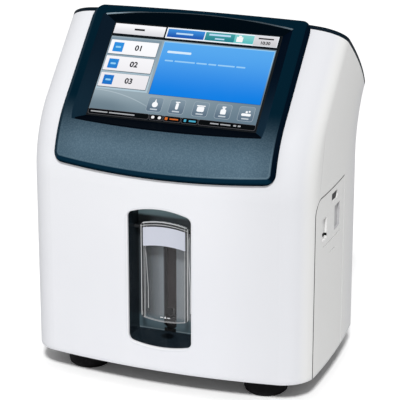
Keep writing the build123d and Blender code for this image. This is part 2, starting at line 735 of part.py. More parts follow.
def sampler_cover():
    """Clear flap with two cheeks that turn on pins."""
    outline = arched(COVER_HALF, COVER_Z[0], COVER_ARC, COVER_Z[1], COVER_ARC, 3.0)
    face = through(outline, (COVER_Y, COVER_Y + COVER_T))
    front, upper, lower = COVER_Y + 1, COVER_Y + CHEEK_DEEP[0], COVER_Y + CHEEK_DEEP[1]
    side = [(front, CHEEK_Z[0]), (lower, CHEEK_Z[0]), (lower, CHEEK_Z[1]), (upper, CHEEK_Z[2]),
            (HINGE_Y + HINGE_EYE_R, HINGE_Z), (front, HINGE_Z)]
    for sign in (-1, 1):
        x = sorted(sign * (COVER_HALF - d) for d in (0, CHEEK_T))
        cheek = side_solid(side, x) + rod_between("X", (HINGE_Y, HINGE_Z), x, HINGE_EYE_R)
        face += cheek + block(x, (front, HINGE_Y), (HINGE_Z - 5, HINGE_Z + HINGE_EYE_R))
    return face - rod_between("X", (HINGE_Y, HINGE_Z), around(0, 40), PIN_R + TOUCH)


def cover_label():
    """Blank printed band on the flap."""
    band = arched(LABEL_HALF, LABEL_Z[0], -LABEL_RISE, LABEL_Z[1], LABEL_RISE, 0.8)
    return through(band, (COVER_Y - LABEL_T, COVER_Y))


def cover_hinge_pins():
    reach = (COVER_HALF - CHEEK_T - 0.2, WIN_HALF + LINER_T - 0.4)
    pins = [rod_between("X", (HINGE_Y, HINGE_Z), sorted(sx * r for r in reach), PIN_R) for sx in (-1, 1)]
    return Compound(pins)


def probe_bracket():
    """Housing behind the channel in which the probe swings."""
    half = CHANNEL_W / 2
    low, high = CHANNEL_Z[0] - 2, CHANNEL_Z[1] + 1
    house = block(around(0, half + 2), (RECESS_D + LINER_T, HOUSING_Y), (low - 2, high + 2))
    house -= block(around(0, half), (RECESS_D, HOUSING_Y - 2), (low, high))
    return house - rod_between("X", (PIVOT_Y, PIVOT_Z), around(0, 20), PIN_R + TOUCH)


def probe_pivot_pin():
    return rod_between("X", (PIVOT_Y, PIVOT_Z), around(0, CHANNEL_W / 2 + 3), PIN_R)


def probe_holder():
    """Upright arm that carries the sampling needle."""
    y = around(PIVOT_Y, HOLDER_D / 2)
    arm = block(around(0, HOLDER_W / 2), y, HOLDER_Z)
    arm = chamfer(arm.edges().filter_by(Axis.Z), 1.5)
    arm -= block(around(0, HOLDER_W), (PIVOT_Y + 2, PIVOT_Y + 9), (HOLDER_Z[0] + 14, HOLDER_Z[1] - 22))
    arm -= rod_between("Z", (0, PIVOT_Y), (HOLDER_Z[0] - 1, HOLDER_Z[0] + 10), NEEDLE_R + TOUCH)
    return arm - rod_between("X", (PIVOT_Y, PIVOT_Z), around(0, 20), PIN_R + TOUCH)


def sample_probe():
    """Hollow needle with a cut tip."""
    needle = rod_between("Z", (0, PIVOT_Y), (NEEDLE_Z, HOLDER_Z[0] + 10), NEEDLE_R)
    return needle - rod_between("Z", (0, PIVOT_Y), (NEEDLE_Z - 1, HOLDER_Z[0] + 11), NEEDLE_R / 2)


def wash_port():
    """Rinsing cup under the needle, on the floor of the housing."""
    floor = CHANNEL_Z[0] - 2
    cup = block(around(0, 4.5), (PIVOT_Y - 4.5, PIVOT_Y + 6), (floor, PORT_TOP))
    return cup - rod_between("Z", (0, PIVOT_Y), (floor + 2, PORT_TOP + 1), 2.5)


def latch_outline(grow):
    """D shape in side view: flat at the front, round at the rear."""
    radius = LATCH_H / 2 + grow
    straight = block((0, 1), (LATCH_Y[0] - grow, LATCH_Y[1] - LATCH_H / 2), around(LATCH_Z, radius))
    tip = rod_between("X", (LATCH_Y[1] - LATCH_H / 2, LATCH_Z), (0, 1), radius)
    return (straight + tip).faces().sort_by(Axis.X)[0]


def latch_solid(grow, x):
    return extrude(Pos(x[0], 0, 0) * latch_outline(grow), x[1] - x[0], dir=(1, 0, 0))


def pocket(y, z, deep):
    """The part of the door's outside skin to be cut away over a rectangle."""
    return (OUTER - body(deep, UNDER)) & flank_block(y, z)


def side_door():
    """Door in the right flank, with pockets, a push latch hole and hinge eyes."""
    skin = SHELL & door_solid(0, DOOR_Y[1])
    door = skin + ((body(WALL - ROOT) - body(DOOR_PAD, UNDER)) & flank_block(PAD_Y, PAD_Z))
    for z in DOOR_EYES_Z:
        web = block((DOOR_HINGE_X, HALF_W), around(DOOR_HINGE_Y, DOOR_EYE_R), z)
        door += (web & INSIDE) + door_axis(z, DOOR_EYE_R)
    door -= pocket(*CARD_POCKET, POCKET_DEEP)
    door -= pocket(*GRIP_POCKET, POCKET_DEEP)
    for half, z in GROOVES:
        door -= pocket(around(GROOVE_Y, half), around(z, GROOVE / 2), GROOVE)
    door -= flank_block(*CARD_SLOT)
    door -= latch_solid(PLAY, FLANK_X)
    for z in DOOR_EYES_Z:
        door -= door_axis((z[0] - 1, z[1] + 1), PIN_R + TOUCH)
    return door


def door_latch():
    """Push button of the door latch, with a flange behind the door."""
    outer, inner = side_x(sum(LATCH_Y) / 2), side_x(sum(LATCH_Y) / 2, DOOR_PAD)
    back = inner - PLAY
    button = latch_solid(0, (back - LATCH_FLANGE, outer - LATCH_SUNK))
    return button + latch_solid(LATCH_REST, (back - LATCH_FLANGE, back - PLAY))


def card_slot():
    """Dark insert with a slit for a settings card."""
    (y, z) = CARD_SLOT
    inner = side_x(CARD_Y, DOOR_PAD)
    insert = block((inner - 4, side_x(CARD_Y) - POCKET_DEEP - PLAY), y, z)
    rim = block((inner - 4, inner - PLAY), (y[0] - 1.5, y[1] + 1.5), (z[0] - 2, z[1] + 2))
    slit = block((inner - 2, FLANK_X[1]), (y[0] + 1, y[1] - 1), around(sum(z) / 2, 0.6))
    return insert + rim - slit


def door_hinge_pins():
    low, high = DOOR_EYES_Z
    spans = ((FOOT_GAP + BASE_UP, low[1] - 1), (high[0] + 1, TOP_EYE_Z[1]))
    return Compound([door_axis(span, PIN_R) for span in spans])


def foot_spots():
    return [(sx * FOOT_X, y) for sx in (-1, 1) for y in (FOOT_IN, BASE_D - FOOT_IN)]


# Reach of the door's rear edge around its hinge, with room to swing
DOOR_SWEEP = hypot(DOOR_Y[1] - DOOR_HINGE_Y, side_x(DOOR_Y[1]) - DOOR_HINGE_X) + 0.7


def base_chassis():
    """Sheet base with feet holes, the lower door lug and posts for the valve block."""
    low = FOOT_GAP + BASE_UP
    plate = extrude(Pos(0, 0, low) * plan_face(WALL + PLAY), BASE_T)
    plate -= door_axis((0, 100), DOOR_SWEEP)
    web_x = (DOOR_HINGE_X - DOOR_SWEEP - 1.4, DOOR_HINGE_X)
    web = block(web_x, (DOOR_HINGE_Y - 7, DOOR_HINGE_Y - 1.6), (low, BASE_TOP))
    plate += web + door_axis((low, BASE_TOP + 3), EYE_R)
    plate -= door_axis((0, 100), PIN_R + TOUCH)
    for x, y in foot_spots():
        plate -= rod_between("Z", (x, y), (0, 100), SCREW_R + HOLE_PLAY)
    for x in (-1, 1):
        plate += rod_between("Z", (x * (VALVE_X - 6), sum(VALVE_Y) / 2), (BASE_TOP - 1, VALVE_Z[0]), POST_R)
    return plate


def rubber_feet():
    """Round feet, widest just above the table."""
    low = FOOT_GAP + BASE_UP
    profile = [(FOOT_R - 3.2, 0), (FOOT_R - 0.8, 2), (FOOT_R, 5), (FOOT_R - 0.5, 10), (FOOT_R - 1.6, low)]
    bore = SCREW_R + HOLE_PLAY
    face = Plane.XZ * make_face(Polyline((bore, 0), *profile, (bore, low), close=True))
    foot = revolve(face, Axis.Z) - rod_between("Z", (0, 0), (-1, FOOT_SEAT), FOOT_HOLE_R)
    return Compound([Pos(x, y, 0) * foot for x, y in foot_spots()])


def foot_screws():
    """Screws from below through the feet into the base."""
    head = (FOOT_SEAT - HEAD_T, FOOT_SEAT)
    screw = rod_between("Z", (0, 0), head, FOOT_HOLE_R - 0.6)
    screw += rod_between("Z", (0, 0), (FOOT_SEAT, BASE_TOP), SCREW_R)
    cross = (head[0] - 1, head[0] + 1.2)
    screw -= block(around(0, 3), around(0, 0.5), cross) + block(around(0, 0.5), around(0, 3), cross)
    return Compound([Pos(x, y, 0) * screw for x, y in foot_spots()])


def base_screws():
    """Screws that hold the front cover to the base, from below."""
    low = FOOT_GAP + BASE_UP
    return Compound([rod_between("Z", spot, (low - PAN_H, low), PAN_R) for spot in post_spots()])


def pack_cradle():
    """Sheet tray that holds the reagent pack, open towards the door."""
    x, y = (PACK_X[0] - SHEET - PLAY, PACK_X[1]), (PACK_Y[0] - SHEET - PLAY, PACK_Y[1] + SHEET + PLAY)
    tray = block(x, y, (BASE_TOP, BASE_TOP + CRADLE_H))
    return tray - block((x[0] + SHEET, x[1] + 1), (PACK_Y[0] - PLAY, PACK_Y[1] + PLAY), (PACK_Z[0], 200))


def reagent_pack():
    """Carton of reagents with a row of fitments facing the valves."""
    pack = block(PACK_X, PACK_Y, PACK_Z)
    pack = chamfer(pack.edges().filter_by(Axis.Z), 2)
    step = (PACK_Y[1] - PACK_Y[0]) / (PACK_PORTS + 1)
    for i in range(PACK_PORTS):
        y = PACK_Y[0] + step * (i + 1)
        pack += rod_between("X", (y, PACK_Z[1] - 22), (PACK_X[0] - 5, PACK_X[0] + 1), 4)
    grip_z = (PACK_Z[1] - 44, PACK_Z[1] - 36)
    return pack - block((PACK_X[1] - 6, PACK_X[1] + 1), (PACK_Y[0] + 16, PACK_Y[1] - 16), grip_z)


def pump_body():
    """Block with the pump track, open at the front."""
    z = (BASE_TOP, PUMP_Z + PUMP_HALF)
    pump = block(around(PUMP_X, PUMP_HALF), PUMP_Y, z)
    deep = (PUMP_Y[0] - 1, PUMP_Y[0] + TRACK_DEEP)
    pump -= rod_between("Y", (PUMP_X, PUMP_Z), deep, TRACK_R)
    pump -= block(around(PUMP_X, TRACK_R), deep, (BASE_TOP + 8, PUMP_Z))
    return pump - rod_between("Y", (PUMP_X, PUMP_Z), (0, 100), SHAFT_R + TOUCH)


def rotor_spots(radius, count, turn):
    """Spots on a circle around the pump's shaft, turned by a share of their pitch."""
    angles = [2 * pi * (i + turn) / count for i in range(count)]
    return [(PUMP_X + radius * cos(a), PUMP_Z + radius * sin(a)) for a in angles]


ROLLER_Y = (PUMP_Y[0] + ROTOR_T + 1, PUMP_Y[0] + 11)


def pump_rotor():
    """Disc and shaft that carry the rollers."""
    front = (ROLLER_Y[0] - ROTOR_T, ROLLER_Y[0])
    rotor = rod_between("Y", (PUMP_X, PUMP_Z), front, ROTOR_R)
    rotor += rod_between("Y", (PUMP_X, PUMP_Z), (front[0], PUMP_Y[1] - 1), SHAFT_R)
    for spot in rotor_spots(ROTOR_R - 7, ROTOR_HOLES, 0.5):
        rotor -= rod_between("Y", spot, (0, PUMP_Y[1]), 2.5)
    return rotor


def pump_rollers():
    spots = rotor_spots(ROLLER_AT, ROLLERS, 0)
    return Compound([rod_between("Y", spot, ROLLER_Y, ROLLER_R) for spot in spots])


def pump_tube():
    """Squeezed tube, over the rollers and down both sides."""
    y = sum(ROLLER_Y) / 2
    r = TRACK_R - TUBE_R - 0.2
    low = BASE_TOP + 8
    left, right = (PUMP_X - r, y, PUMP_Z), (PUMP_X + r, y, PUMP_Z)
    path = Wire([Line((left[0], y, low), left), ThreePointArc(left, (PUMP_X, y, PUMP_Z + r), right),
                 Line(right, (right[0], y, low))])
    ring = Plane(origin=(left[0], y, low), z_dir=(0, 0, 1)) * (Circle(TUBE_R) - Circle(TUBE_R - TUBE_WALL))
    return sweep(ring, path=path)


def pump_motor():
    """Gearbox and motor behind the pump."""
    ends = (PUMP_Y[1], PUMP_Y[1] + GEARBOX_L, PUMP_Y[1] + MOTOR_L)
    box = rod_between("Y", (PUMP_X, PUMP_Z), ends[:2], GEARBOX_R)
    can = rod_between("Y", (PUMP_X, PUMP_Z), ends[1:], MOTOR_R)
    return box + can


def cell_bracket():
    """Upright sheet that carries the electrode block, with a hole for the motor."""
    y = (CELL_Y[1], CELL_Y[1] + SHEET)
    sheet = block((CELL_X[0] + 4, CELL_X[1] - 2), y, (BASE_TOP, CELL_Z[1]))
    sheet += block((CELL_X[0] + 4, CELL_X[1] - 2), (y[0], y[0] + CELL_FLANGE), (BASE_TOP, BASE_TOP + SHEET))
    return sheet - rod_between("Y", (PUMP_X, PUMP_Z), (0, 200), GEARBOX_R + 1)


def electrode_x():
    step = (CELL_X[1] - CELL_X[0]) / ELECTRODES
    return [CELL_X[0] + step * (i + 0.5) for i in range(ELECTRODES)]


def electrode_block():
    """Clear block with a bore for every electrode."""
    cell = block(CELL_X, CELL_Y, CELL_Z)
    z = sum(CELL_Z) / 2
    for x in electrode_x():
        cell -= rod_between("Y", (x, z), (CELL_Y[0] - 1, CELL_Y[1] - BORE_END), ELECTRODE_R + TOUCH)
    return cell


def electrodes():
    z = sum(CELL_Z) / 2
    end = CELL_Y[1] - BORE_END
    rods = []
    for x in electrode_x():
        tail = rod_between("Y", (x, z), (end - ELECTRODE_L, end), ELECTRODE_R)
        rods.append(tail + rod_between("Y", (x, z), (CELL_Y[0] - 6, CELL_Y[0] - 0.5), ELECTRODE_R + 1.2))
    return Compound(rods)


def valve_block():
    """Manifold with a row of pinch valves on top."""
    block_x = (-VALVE_X, VALVE_X)
    manifold = block(block_x, VALVE_Y, (VALVE_Z[0], VALVE_Z[1] - VALVE_H + 8))
    for i in range(VALVES):
        x = (i - (VALVES - 1) / 2) * (2 * VALVE_R + 4)
        manifold += rod_between("Z", (x, sum(VALVE_Y) / 2), (VALVE_Z[0] + 4, VALVE_Z[1]), VALVE_R)
    return manifold


def main_board():
    """Circuit board on the rear cover, parts facing forwards."""
    board = block((-BOARD_X, BOARD_X), BOARD_Y, BOARD_Z)
    y = BOARD_Y[0]
    board += block((-58, -26), (y - 2, y + 0.2), (96, 128)) + block((-8, 16), (y - 3, y + 0.2), (100, 124))
    board += block((34, 66), (y - 7, y + 0.2), (150, 158)) + block((-66, -34), (y - 7, y + 0.2), (150, 158))
    for i in range(4):
        board += rod_between("Y", (30 + i * 11, 92), (y - 10, y + 0.2), 4)
    return board


def power_supply():
    """Boxed supply with a vented lid, on the base."""
    box = block(SUPPLY_X, SUPPLY_Y, (BASE_TOP, SUPPLY_TOP))
    for i in range(7):
        x = SUPPLY_X[0] + 12 + i * 9
        box -= block((x, x + 3), (SUPPLY_Y[0] + 6, SUPPLY_Y[1] - 6), (SUPPLY_TOP - 1.5, SUPPLY_TOP + 1))
    return box


def flanged(x, width, height, deep):
    """A box let into the rear wall, with a flange around it outside."""
    z = around(SOCKET_Z, height / 2)
    box = block(around(x, width / 2), (BASE_D - deep, BASE_D + 0.1), z)
    z = around(SOCKET_Z, height / 2 + FLANGE_W)
    return box + block(around(x, width / 2 + FLANGE_W), (BASE_D, BASE_D + FLANGE_T), z)


def power_inlet():
    """Three-pin appliance inlet."""
    inlet = flanged(INLET_X, INLET_W, INLET_H, 22)
    hole = block(around(INLET_X, 12), (BASE_D - 16, BASE_D + 5), around(SOCKET_Z, 8))
    inlet -= chamfer(hole.edges().filter_by(Axis.Y).sort_by(Axis.Z)[-2:], 4)
    for x, up in ((-7, -2), (7, -2), (0, 3)):
        inlet += block(around(INLET_X + x, 1), (BASE_D - 17, BASE_D - 2), around(SOCKET_Z + up, 2))
    return inlet


ROCKER_Y = BASE_D - 3.0


def rocker_axis(half, radius):
    """A cylinder on the rocker's axis."""
    return rod_between("X", (ROCKER_Y, SOCKET_Z), around(SWITCH_X, half), radius)


def switch_frame():
    frame = flanged(SWITCH_X, SWITCH_W, SWITCH_H, 18)
    half = SWITCH_W / 2 - 2
    frame -= rocker_axis(half, ROCKER_R + PLAY)
    frame -= block(around(SWITCH_X, half), (ROCKER_Y, BASE_D + 5), around(SOCKET_Z, ROCKER_R + PLAY))
    return frame - rocker_axis(half + 1.5, PIN_R + TOUCH)


def power_switch():
    """Rocker with two slightly tilted faces, on its own stub axle."""
    rocker = rocker_axis(SWITCH_W / 2 - 2 - PLAY, ROCKER_R)
    valley, far = ROCKER_Y + 4.4, ROCKER_Y + 20
    upper = valley + 10 * tan(radians(ROCKER_V - ROCKER_TILT))
    lower = valley + 10 * tan(radians(ROCKER_V + ROCKER_TILT))
    low, high = around(SOCKET_Z, 10)
    cut = [(far, high), (upper, high), (valley, SOCKET_Z), (lower, low), (far, low)]
    rocker -= side_solid(cut, around(SWITCH_X, SWITCH_W))
    return rocker + rocker_axis(SWITCH_W / 2 - 1, PIN_R)


PORTS = ((-27, 16, 13), (-4, 15, 8), (22, 31, 12))  # middle, width, height of each socket


def port_plate():
    """Metal plate behind the opening for the sockets."""
    plate = block(around(PORT_X, PORT_W / 2 + 5), (REAR_IN - 1.2, REAR_IN), around(SOCKET_Z, PORT_H / 2 + 3))
    for x, w, h in PORTS:
        plate -= block(around(PORT_X + x, w / 2 + PLAY), (0, 300), around(SOCKET_Z, h / 2 + PLAY))
    return plate


def rear_ports():
    """Network, data and serial sockets on a small board."""
    back = BASE_D - 20
    ports = block(around(PORT_X, PORT_W / 2), (back - BOARD_T, back), around(SOCKET_Z, PORT_H / 2))
    for x, w, h in PORTS:
        ports += block(around(PORT_X + x, w / 2), (back - 0.5, BASE_D - 1), around(SOCKET_Z, h / 2))
    x, w, h = PORTS[0]
    ports -= block(around(PORT_X + x, 5.9), (BASE_D - 13, BASE_D), around(SOCKET_Z, 4.5))
    x, w, h = PORTS[1]
    ports -= block(around(PORT_X + x, 6.2), (BASE_D - 9, BASE_D), around(SOCKET_Z, 2.4))
    x, w, h = PORTS[2]
    ports -= block(around(PORT_X + x, 9.0), (BASE_D - 7, BASE_D), around(SOCKET_Z, 4.2))
    return ports


def id_plate():
    return block((20, 76), (BASE_D, BASE_D + 0.6), (144, 166))


PIECES = {
    "front_cover": front_cover, "rear_cover": rear_cover, "rear_screws": rear_screws,
    "top_cover": top_cover, "display_fascia": display_fascia, "display_glass": display_glass,
    "lcd_module": lcd_module, "display_bracket": display_bracket, "bracket_screws": bracket_screws,
    "recess_liner": recess_liner, "sampler_cover": sampler_cover, "cover_label": cover_label,
    "cover_hinge_pins": cover_hinge_pins, "probe_bracket": probe_bracket, "probe_pivot_pin": probe_pivot_pin,
    "probe_holder": probe_holder, "sample_probe": sample_probe, "wash_port": wash_port,
    "side_door": side_door, "door_latch": door_latch, "card_slot": card_slot,
    "door_hinge_pins": door_hinge_pins,
    "base_chassis": base_chassis, "rubber_feet": rubber_feet, "foot_screws": foot_screws,
    "base_screws": base_screws, "pack_cradle": pack_cradle, "reagent_pack": reagent_pack,
    "pump_body": pump_body, "pump_rotor": pump_rotor, "pump_rollers": pump_rollers, "pump_tube": pump_tube,
    "pump_motor": pump_motor, "cell_bracket": cell_bracket, "electrode_block": electrode_block,
    "electrodes": electrodes, "valve_block": valve_block, "main_board": main_board,
    "power_supply": power_supply, "power_inlet": power_inlet, "switch_frame": switch_frame,
    "power_switch": power_switch, "port_plate": port_plate, "rear_ports": rear_ports, "id_plate": id_plate,
    "printer_lid": printer_lid, "printer_lid_pins": printer_lid_pins, "platen_roller": platen_roller,
    "printer_mechanism": printer_mechanism, "paper_roll": paper_roll, "printer_tray": printer_tray,
}


def centred(pieces):
    """All pieces moved along Y so that the whole is centred, and the shift."""
    boxes = [piece.bounding_box() for piece in pieces.values()]
    shift = -(min(b.min.Y for b in boxes) + max(b.max.Y for b in boxes)) / 2
    return {name: Pos(0, shift, 0) * piece for name, piece in pieces.items()}, shift


def main():
    os.makedirs("parts", exist_ok=True)
    pieces, shift = centred({name: build() for name, build in PIECES.items()})
    for name, piece in pieces.items():
        export_step(piece, f"parts/{name}.step")
    print(f"moved along Y by {shift:.4f}")


if __name__ == "__main__":
    main()
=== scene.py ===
"""Looks for a bench-top electrolyte analyzer: finishes, the lit picture, small fittings, studio."""

import logging
from dataclasses import dataclass, field
from enum import Enum
from math import cos, pi, radians, sin

import bmesh
import bpy
from bmesh.types import BMesh, BMVert
from bpy.types import Material, Node, NodeSocket, Object, World
from mathutils import Euler, Matrix, Vector


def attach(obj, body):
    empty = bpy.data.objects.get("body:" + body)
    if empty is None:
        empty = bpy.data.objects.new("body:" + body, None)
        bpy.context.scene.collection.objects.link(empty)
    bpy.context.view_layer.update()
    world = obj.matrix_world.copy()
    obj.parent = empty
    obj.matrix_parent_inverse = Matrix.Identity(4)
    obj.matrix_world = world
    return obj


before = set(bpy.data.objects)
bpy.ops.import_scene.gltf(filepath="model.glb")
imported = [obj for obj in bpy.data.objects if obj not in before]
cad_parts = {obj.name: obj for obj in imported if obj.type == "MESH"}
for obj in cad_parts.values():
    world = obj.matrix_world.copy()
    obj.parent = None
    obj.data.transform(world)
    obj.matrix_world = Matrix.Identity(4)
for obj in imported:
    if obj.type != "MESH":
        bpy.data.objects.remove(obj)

MM = 0.001
PER_METRE = 1000.0         # millimetres
SHIFT = -97.8354           # the CAD's front plane lies this far along Y, in millimetres
log = logging.getLogger("analyzer")

Colour = tuple[float, float, float]
Spot = tuple[float, float]      # a place or a range, in millimetres


def srgb(red: float, green: float, blue: float) -> Colour:
    """A colour given as 0 to 255 screen values, made linear.

    Args:
        red: Red, 0 to 255.
        green: Green, 0 to 255.
        blue: Blue, 0 to 255.

    Returns:
        The linear colour.
    """
    def straight(level: float) -> float:
        """One channel made linear."""
        part = level / 255
        return part / 12.92 if part <= 0.04045 else ((part + 0.055) / 1.055) ** 2.4
    return straight(red), straight(green), straight(blue)


class Value:
    """A number socket with arithmetic."""

    def __init__(self, recipe: "Recipe", socket: NodeSocket) -> None:
        """Keeps the socket and the material that it belongs to."""
        self.recipe = recipe
        self.socket = socket

    def __add__(self, other: "Value | float") -> "Value":
        """Sum."""
        return self.recipe.maths("ADD", self, other)

    __radd__ = __add__

    def __sub__(self, other: "Value | float") -> "Value":
        """Difference."""
        return self.recipe.maths("SUBTRACT", self, other)

    def __rsub__(self, other: float) -> "Value":
        """Difference from a plain number."""
        return self.recipe.maths("SUBTRACT", other, self)

    def __mul__(self, other: "Value | float") -> "Value":
        """Product."""
        return self.recipe.maths("MULTIPLY", self, other)

    __rmul__ = __mul__

    def __truediv__(self, other: "Value | float") -> "Value":
        """Quotient."""
        return self.recipe.maths("DIVIDE", self, other)

    def __neg__(self) -> "Value":
        """The same number with the other sign."""
        return self * -1.0

    def __abs__(self) -> "Value":
        """Size without sign."""
        return self.recipe.maths("ABSOLUTE", self)

    def least(self, other: "Value | float") -> "Value":
        """The smaller of two."""
        return self.recipe.maths("MINIMUM", self, other)

    def most(self, other: "Value | float") -> "Value":
        """The larger of two."""
        return self.recipe.maths("MAXIMUM", self, other)

    def slope(self, low: float, high: float, kind: str = "LINEAR") -> "Value":
        """0 at low and 1 at high, and held outside.

        Args:
            low: Where it is 0.
            high: Where it is 1.
            kind: How it goes between them.

        Returns:
            The share.
        """
        span = {"Value": self, "From Min": low, "From Max": high}
        made = self.recipe.node("ShaderNodeMapRange", {"interpolation_type": kind}, span)
        return Value(self.recipe, made.outputs["Result"])

    def ease(self, low: float, high: float) -> "Value":
        """0 below low, 1 above high and smooth between."""
        return self.slope(low, high, "SMOOTHSTEP")

    def fall(self, low: float, high: float) -> "Value":
        """1 below low, 0 above high and smooth between."""
        return 1 - self.ease(low, high)

    def within(self, low: float, high: float, soft: float = 0.2) -> "Value":
        """1 between low and high, with a soft edge."""
        return self.ease(low - soft, low + soft) * self.fall(high - soft, high + soft)


Tone = Colour | NodeSocket
Coat = tuple[Value, Tone]       # a share and the colour that it brings


class Recipe:
    """Builds one node material around a principled shader, with places and distances in millimetres."""

    def __init__(self, name: str, world: World | None = None) -> None:
        """Starts an empty material, or empties a world.

        Args:
            name: The material's name.
            world: The world that gets the nodes in place of a material.
        """
        self.owner = world or bpy.data.materials.new(name)
        self.owner.use_nodes = True
        self.tree = self.owner.node_tree
        self.tree.nodes.clear()
        self._place: dict[str, Value] = {}

    def node(self, kind: str, settings: dict | None = None, inputs: dict | None = None) -> Node:
        """Adds any node.

        Args:
            kind: The node's type.
            settings: Properties, which are set first.
            inputs: Values or links, by socket name or number.

        Returns:
            The new node.
        """
        made = self.tree.nodes.new(kind)
        for key, value in (settings or {}).items():
            setattr(made, key, value)
        for key, value in (inputs or {}).items():
            socket = made.inputs[key]
            if isinstance(value, Value):
                self.tree.links.new(value.socket, socket)
            elif isinstance(value, NodeSocket):
                self.tree.links.new(value, socket)
            elif isinstance(value, tuple) and len(value) == 3 and socket.type == "RGBA":
                socket.default_value = (*value, 1.0)
            else:
                socket.default_value = value
        return made

    def maths(self, operation: str, first: "Value | float", second: "Value | float" = 0.0) -> Value:
        """One Math node."""
        made = self.node("ShaderNodeMath", {"operation": operation}, {0: first, 1: second})
        return Value(self, made.outputs[0])

    def place(self, axis: str) -> Value:
        """The object coordinate along an axis.

        Args:
            axis: "X", "Y" or "Z".

        Returns:
            The coordinate.
        """
        if not self._place:
            spot = self.node("ShaderNodeTexCoord").outputs["Object"]
            parts = self.node("ShaderNodeSeparateXYZ", inputs={0: spot})
            self._place = {name: Value(self, parts.outputs[name]) * PER_METRE for name in "XYZ"}
        return self._place[axis]

    def plane(self) -> tuple[Value, Value, Value]:
        """The place on the picture's plane.

        Returns:
            Across, up and out.
        """
        picture = PicturePlane()
        middle = picture.origin * PER_METRE
        y, z = self.place("Y") - middle.y, self.place("Z") - middle.z
        rise, run = sin(picture.lean), cos(picture.lean)
        return self.place("X"), y * rise + z * run, z * rise - y * run

    def noise(self, scale: float, detail: float = 2.0,
              stretch: tuple[float, float, float] | None = None) -> Value:
        """Noise over the object, 0 to 1.

        Args:
            scale: Waves for each metre.
            detail: Octaves.
            stretch: Scale along each axis, for streaks.

        Returns:
            The noise.
        """
        spot = self.node("ShaderNodeTexCoord").outputs["Object"]
        if stretch:
            spot = self.node("ShaderNodeMapping", inputs={"Vector": spot, "Scale": stretch}).outputs[0]
        made = self.node("ShaderNodeTexNoise", inputs={"Vector": spot, "Scale": scale, "Detail": detail})
        return Value(self, made.outputs["Fac"])

    def rounded(self, across: Value, up: Value, radius: float) -> Value:
        """Distance to a rounded outline.

        Args:
            across: Distance beyond the straight upright edges.
            up: Distance beyond the straight level edges.
            radius: Radius of the corner between them.

        Returns:
            The distance, negative inside.
        """
        first, second = across + radius, up + radius
        a, b = first.most(0.0), second.most(0.0)
        corner = self.maths("SQRT", a * a + b * b)
        return corner + first.most(second).least(0.0) - radius

    def mix(self, share: Value, first: Tone, second: Tone) -> NodeSocket:
        """The first colour at a share of 0 and the second at 1."""
        made = self.node("ShaderNodeMix", {"data_type": "RGBA"}, {0: share, 6: first, 7: second})
        return made.outputs[2]

    def layers(self, base: Tone, coats: list[Coat]) -> Tone:
        """A colour with coats laid over it.

        Args:
            base: The lowest colour.
            coats: Each coat's share and colour, lowest first.

        Returns:
            The colour on top.
        """
        for share, colour in coats:
            base = self.mix(share, base, colour)
        return base

    def bump(self, height: Value, depth: float) -> NodeSocket:
        """A bump whose height of 1 is a depth in metres."""
        return self.node("ShaderNodeBump", inputs={"Height": height, "Distance": depth}).outputs[0]

    def surface(self, **inputs: object) -> Material:
        """Finishes the material with a principled shader.

        Args:
            inputs: The shader's sockets, with underscores for spaces.

        Returns:
            The material.
        """
        named = {key.replace("_", " "): value for key, value in inputs.items()}
        shader = self.node("ShaderNodeBsdfPrincipled", inputs=named)
        self.node("ShaderNodeOutputMaterial", inputs={"Surface": shader.outputs[0]})
        return self.owner


@dataclass(frozen=True)
class Moulding:
    """A moulded plastic: fine grain, faint flow marks and a slight change of gloss."""

    name: str
    colour: Colour
    shade: Colour
    roughness: float = 0.38
    grain: float = 1500.0
    depth: float = 0.00001
    shine: float = 0.5
    waves: float = 9.0      # of the flow marks, for each metre
    streak: float = 0.4     # their scale along Z

    def build(self) -> Material:
        """Makes the material.

        Returns:
            The material.
        """
        recipe = Recipe(self.name)
        flow = recipe.noise(self.waves, 3.0, (1.0, 1.0, self.streak)).ease(0.35, 0.7)
        fine = recipe.noise(self.grain, 3.0)
        rough = fine * 0.06 + flow * 0.04 + (self.roughness - 0.05)
        base = recipe.layers(recipe.mix(flow, self.colour, self.shade), self.coats(recipe))
        return recipe.surface(Base_Color=base, Roughness=rough, Specular_IOR_Level=self.shine,
                              Normal=recipe.bump(fine, self.depth))

    def coats(self, recipe: Recipe) -> list[Coat]:
        """A plain moulding has nothing laid over its colour."""
        return []


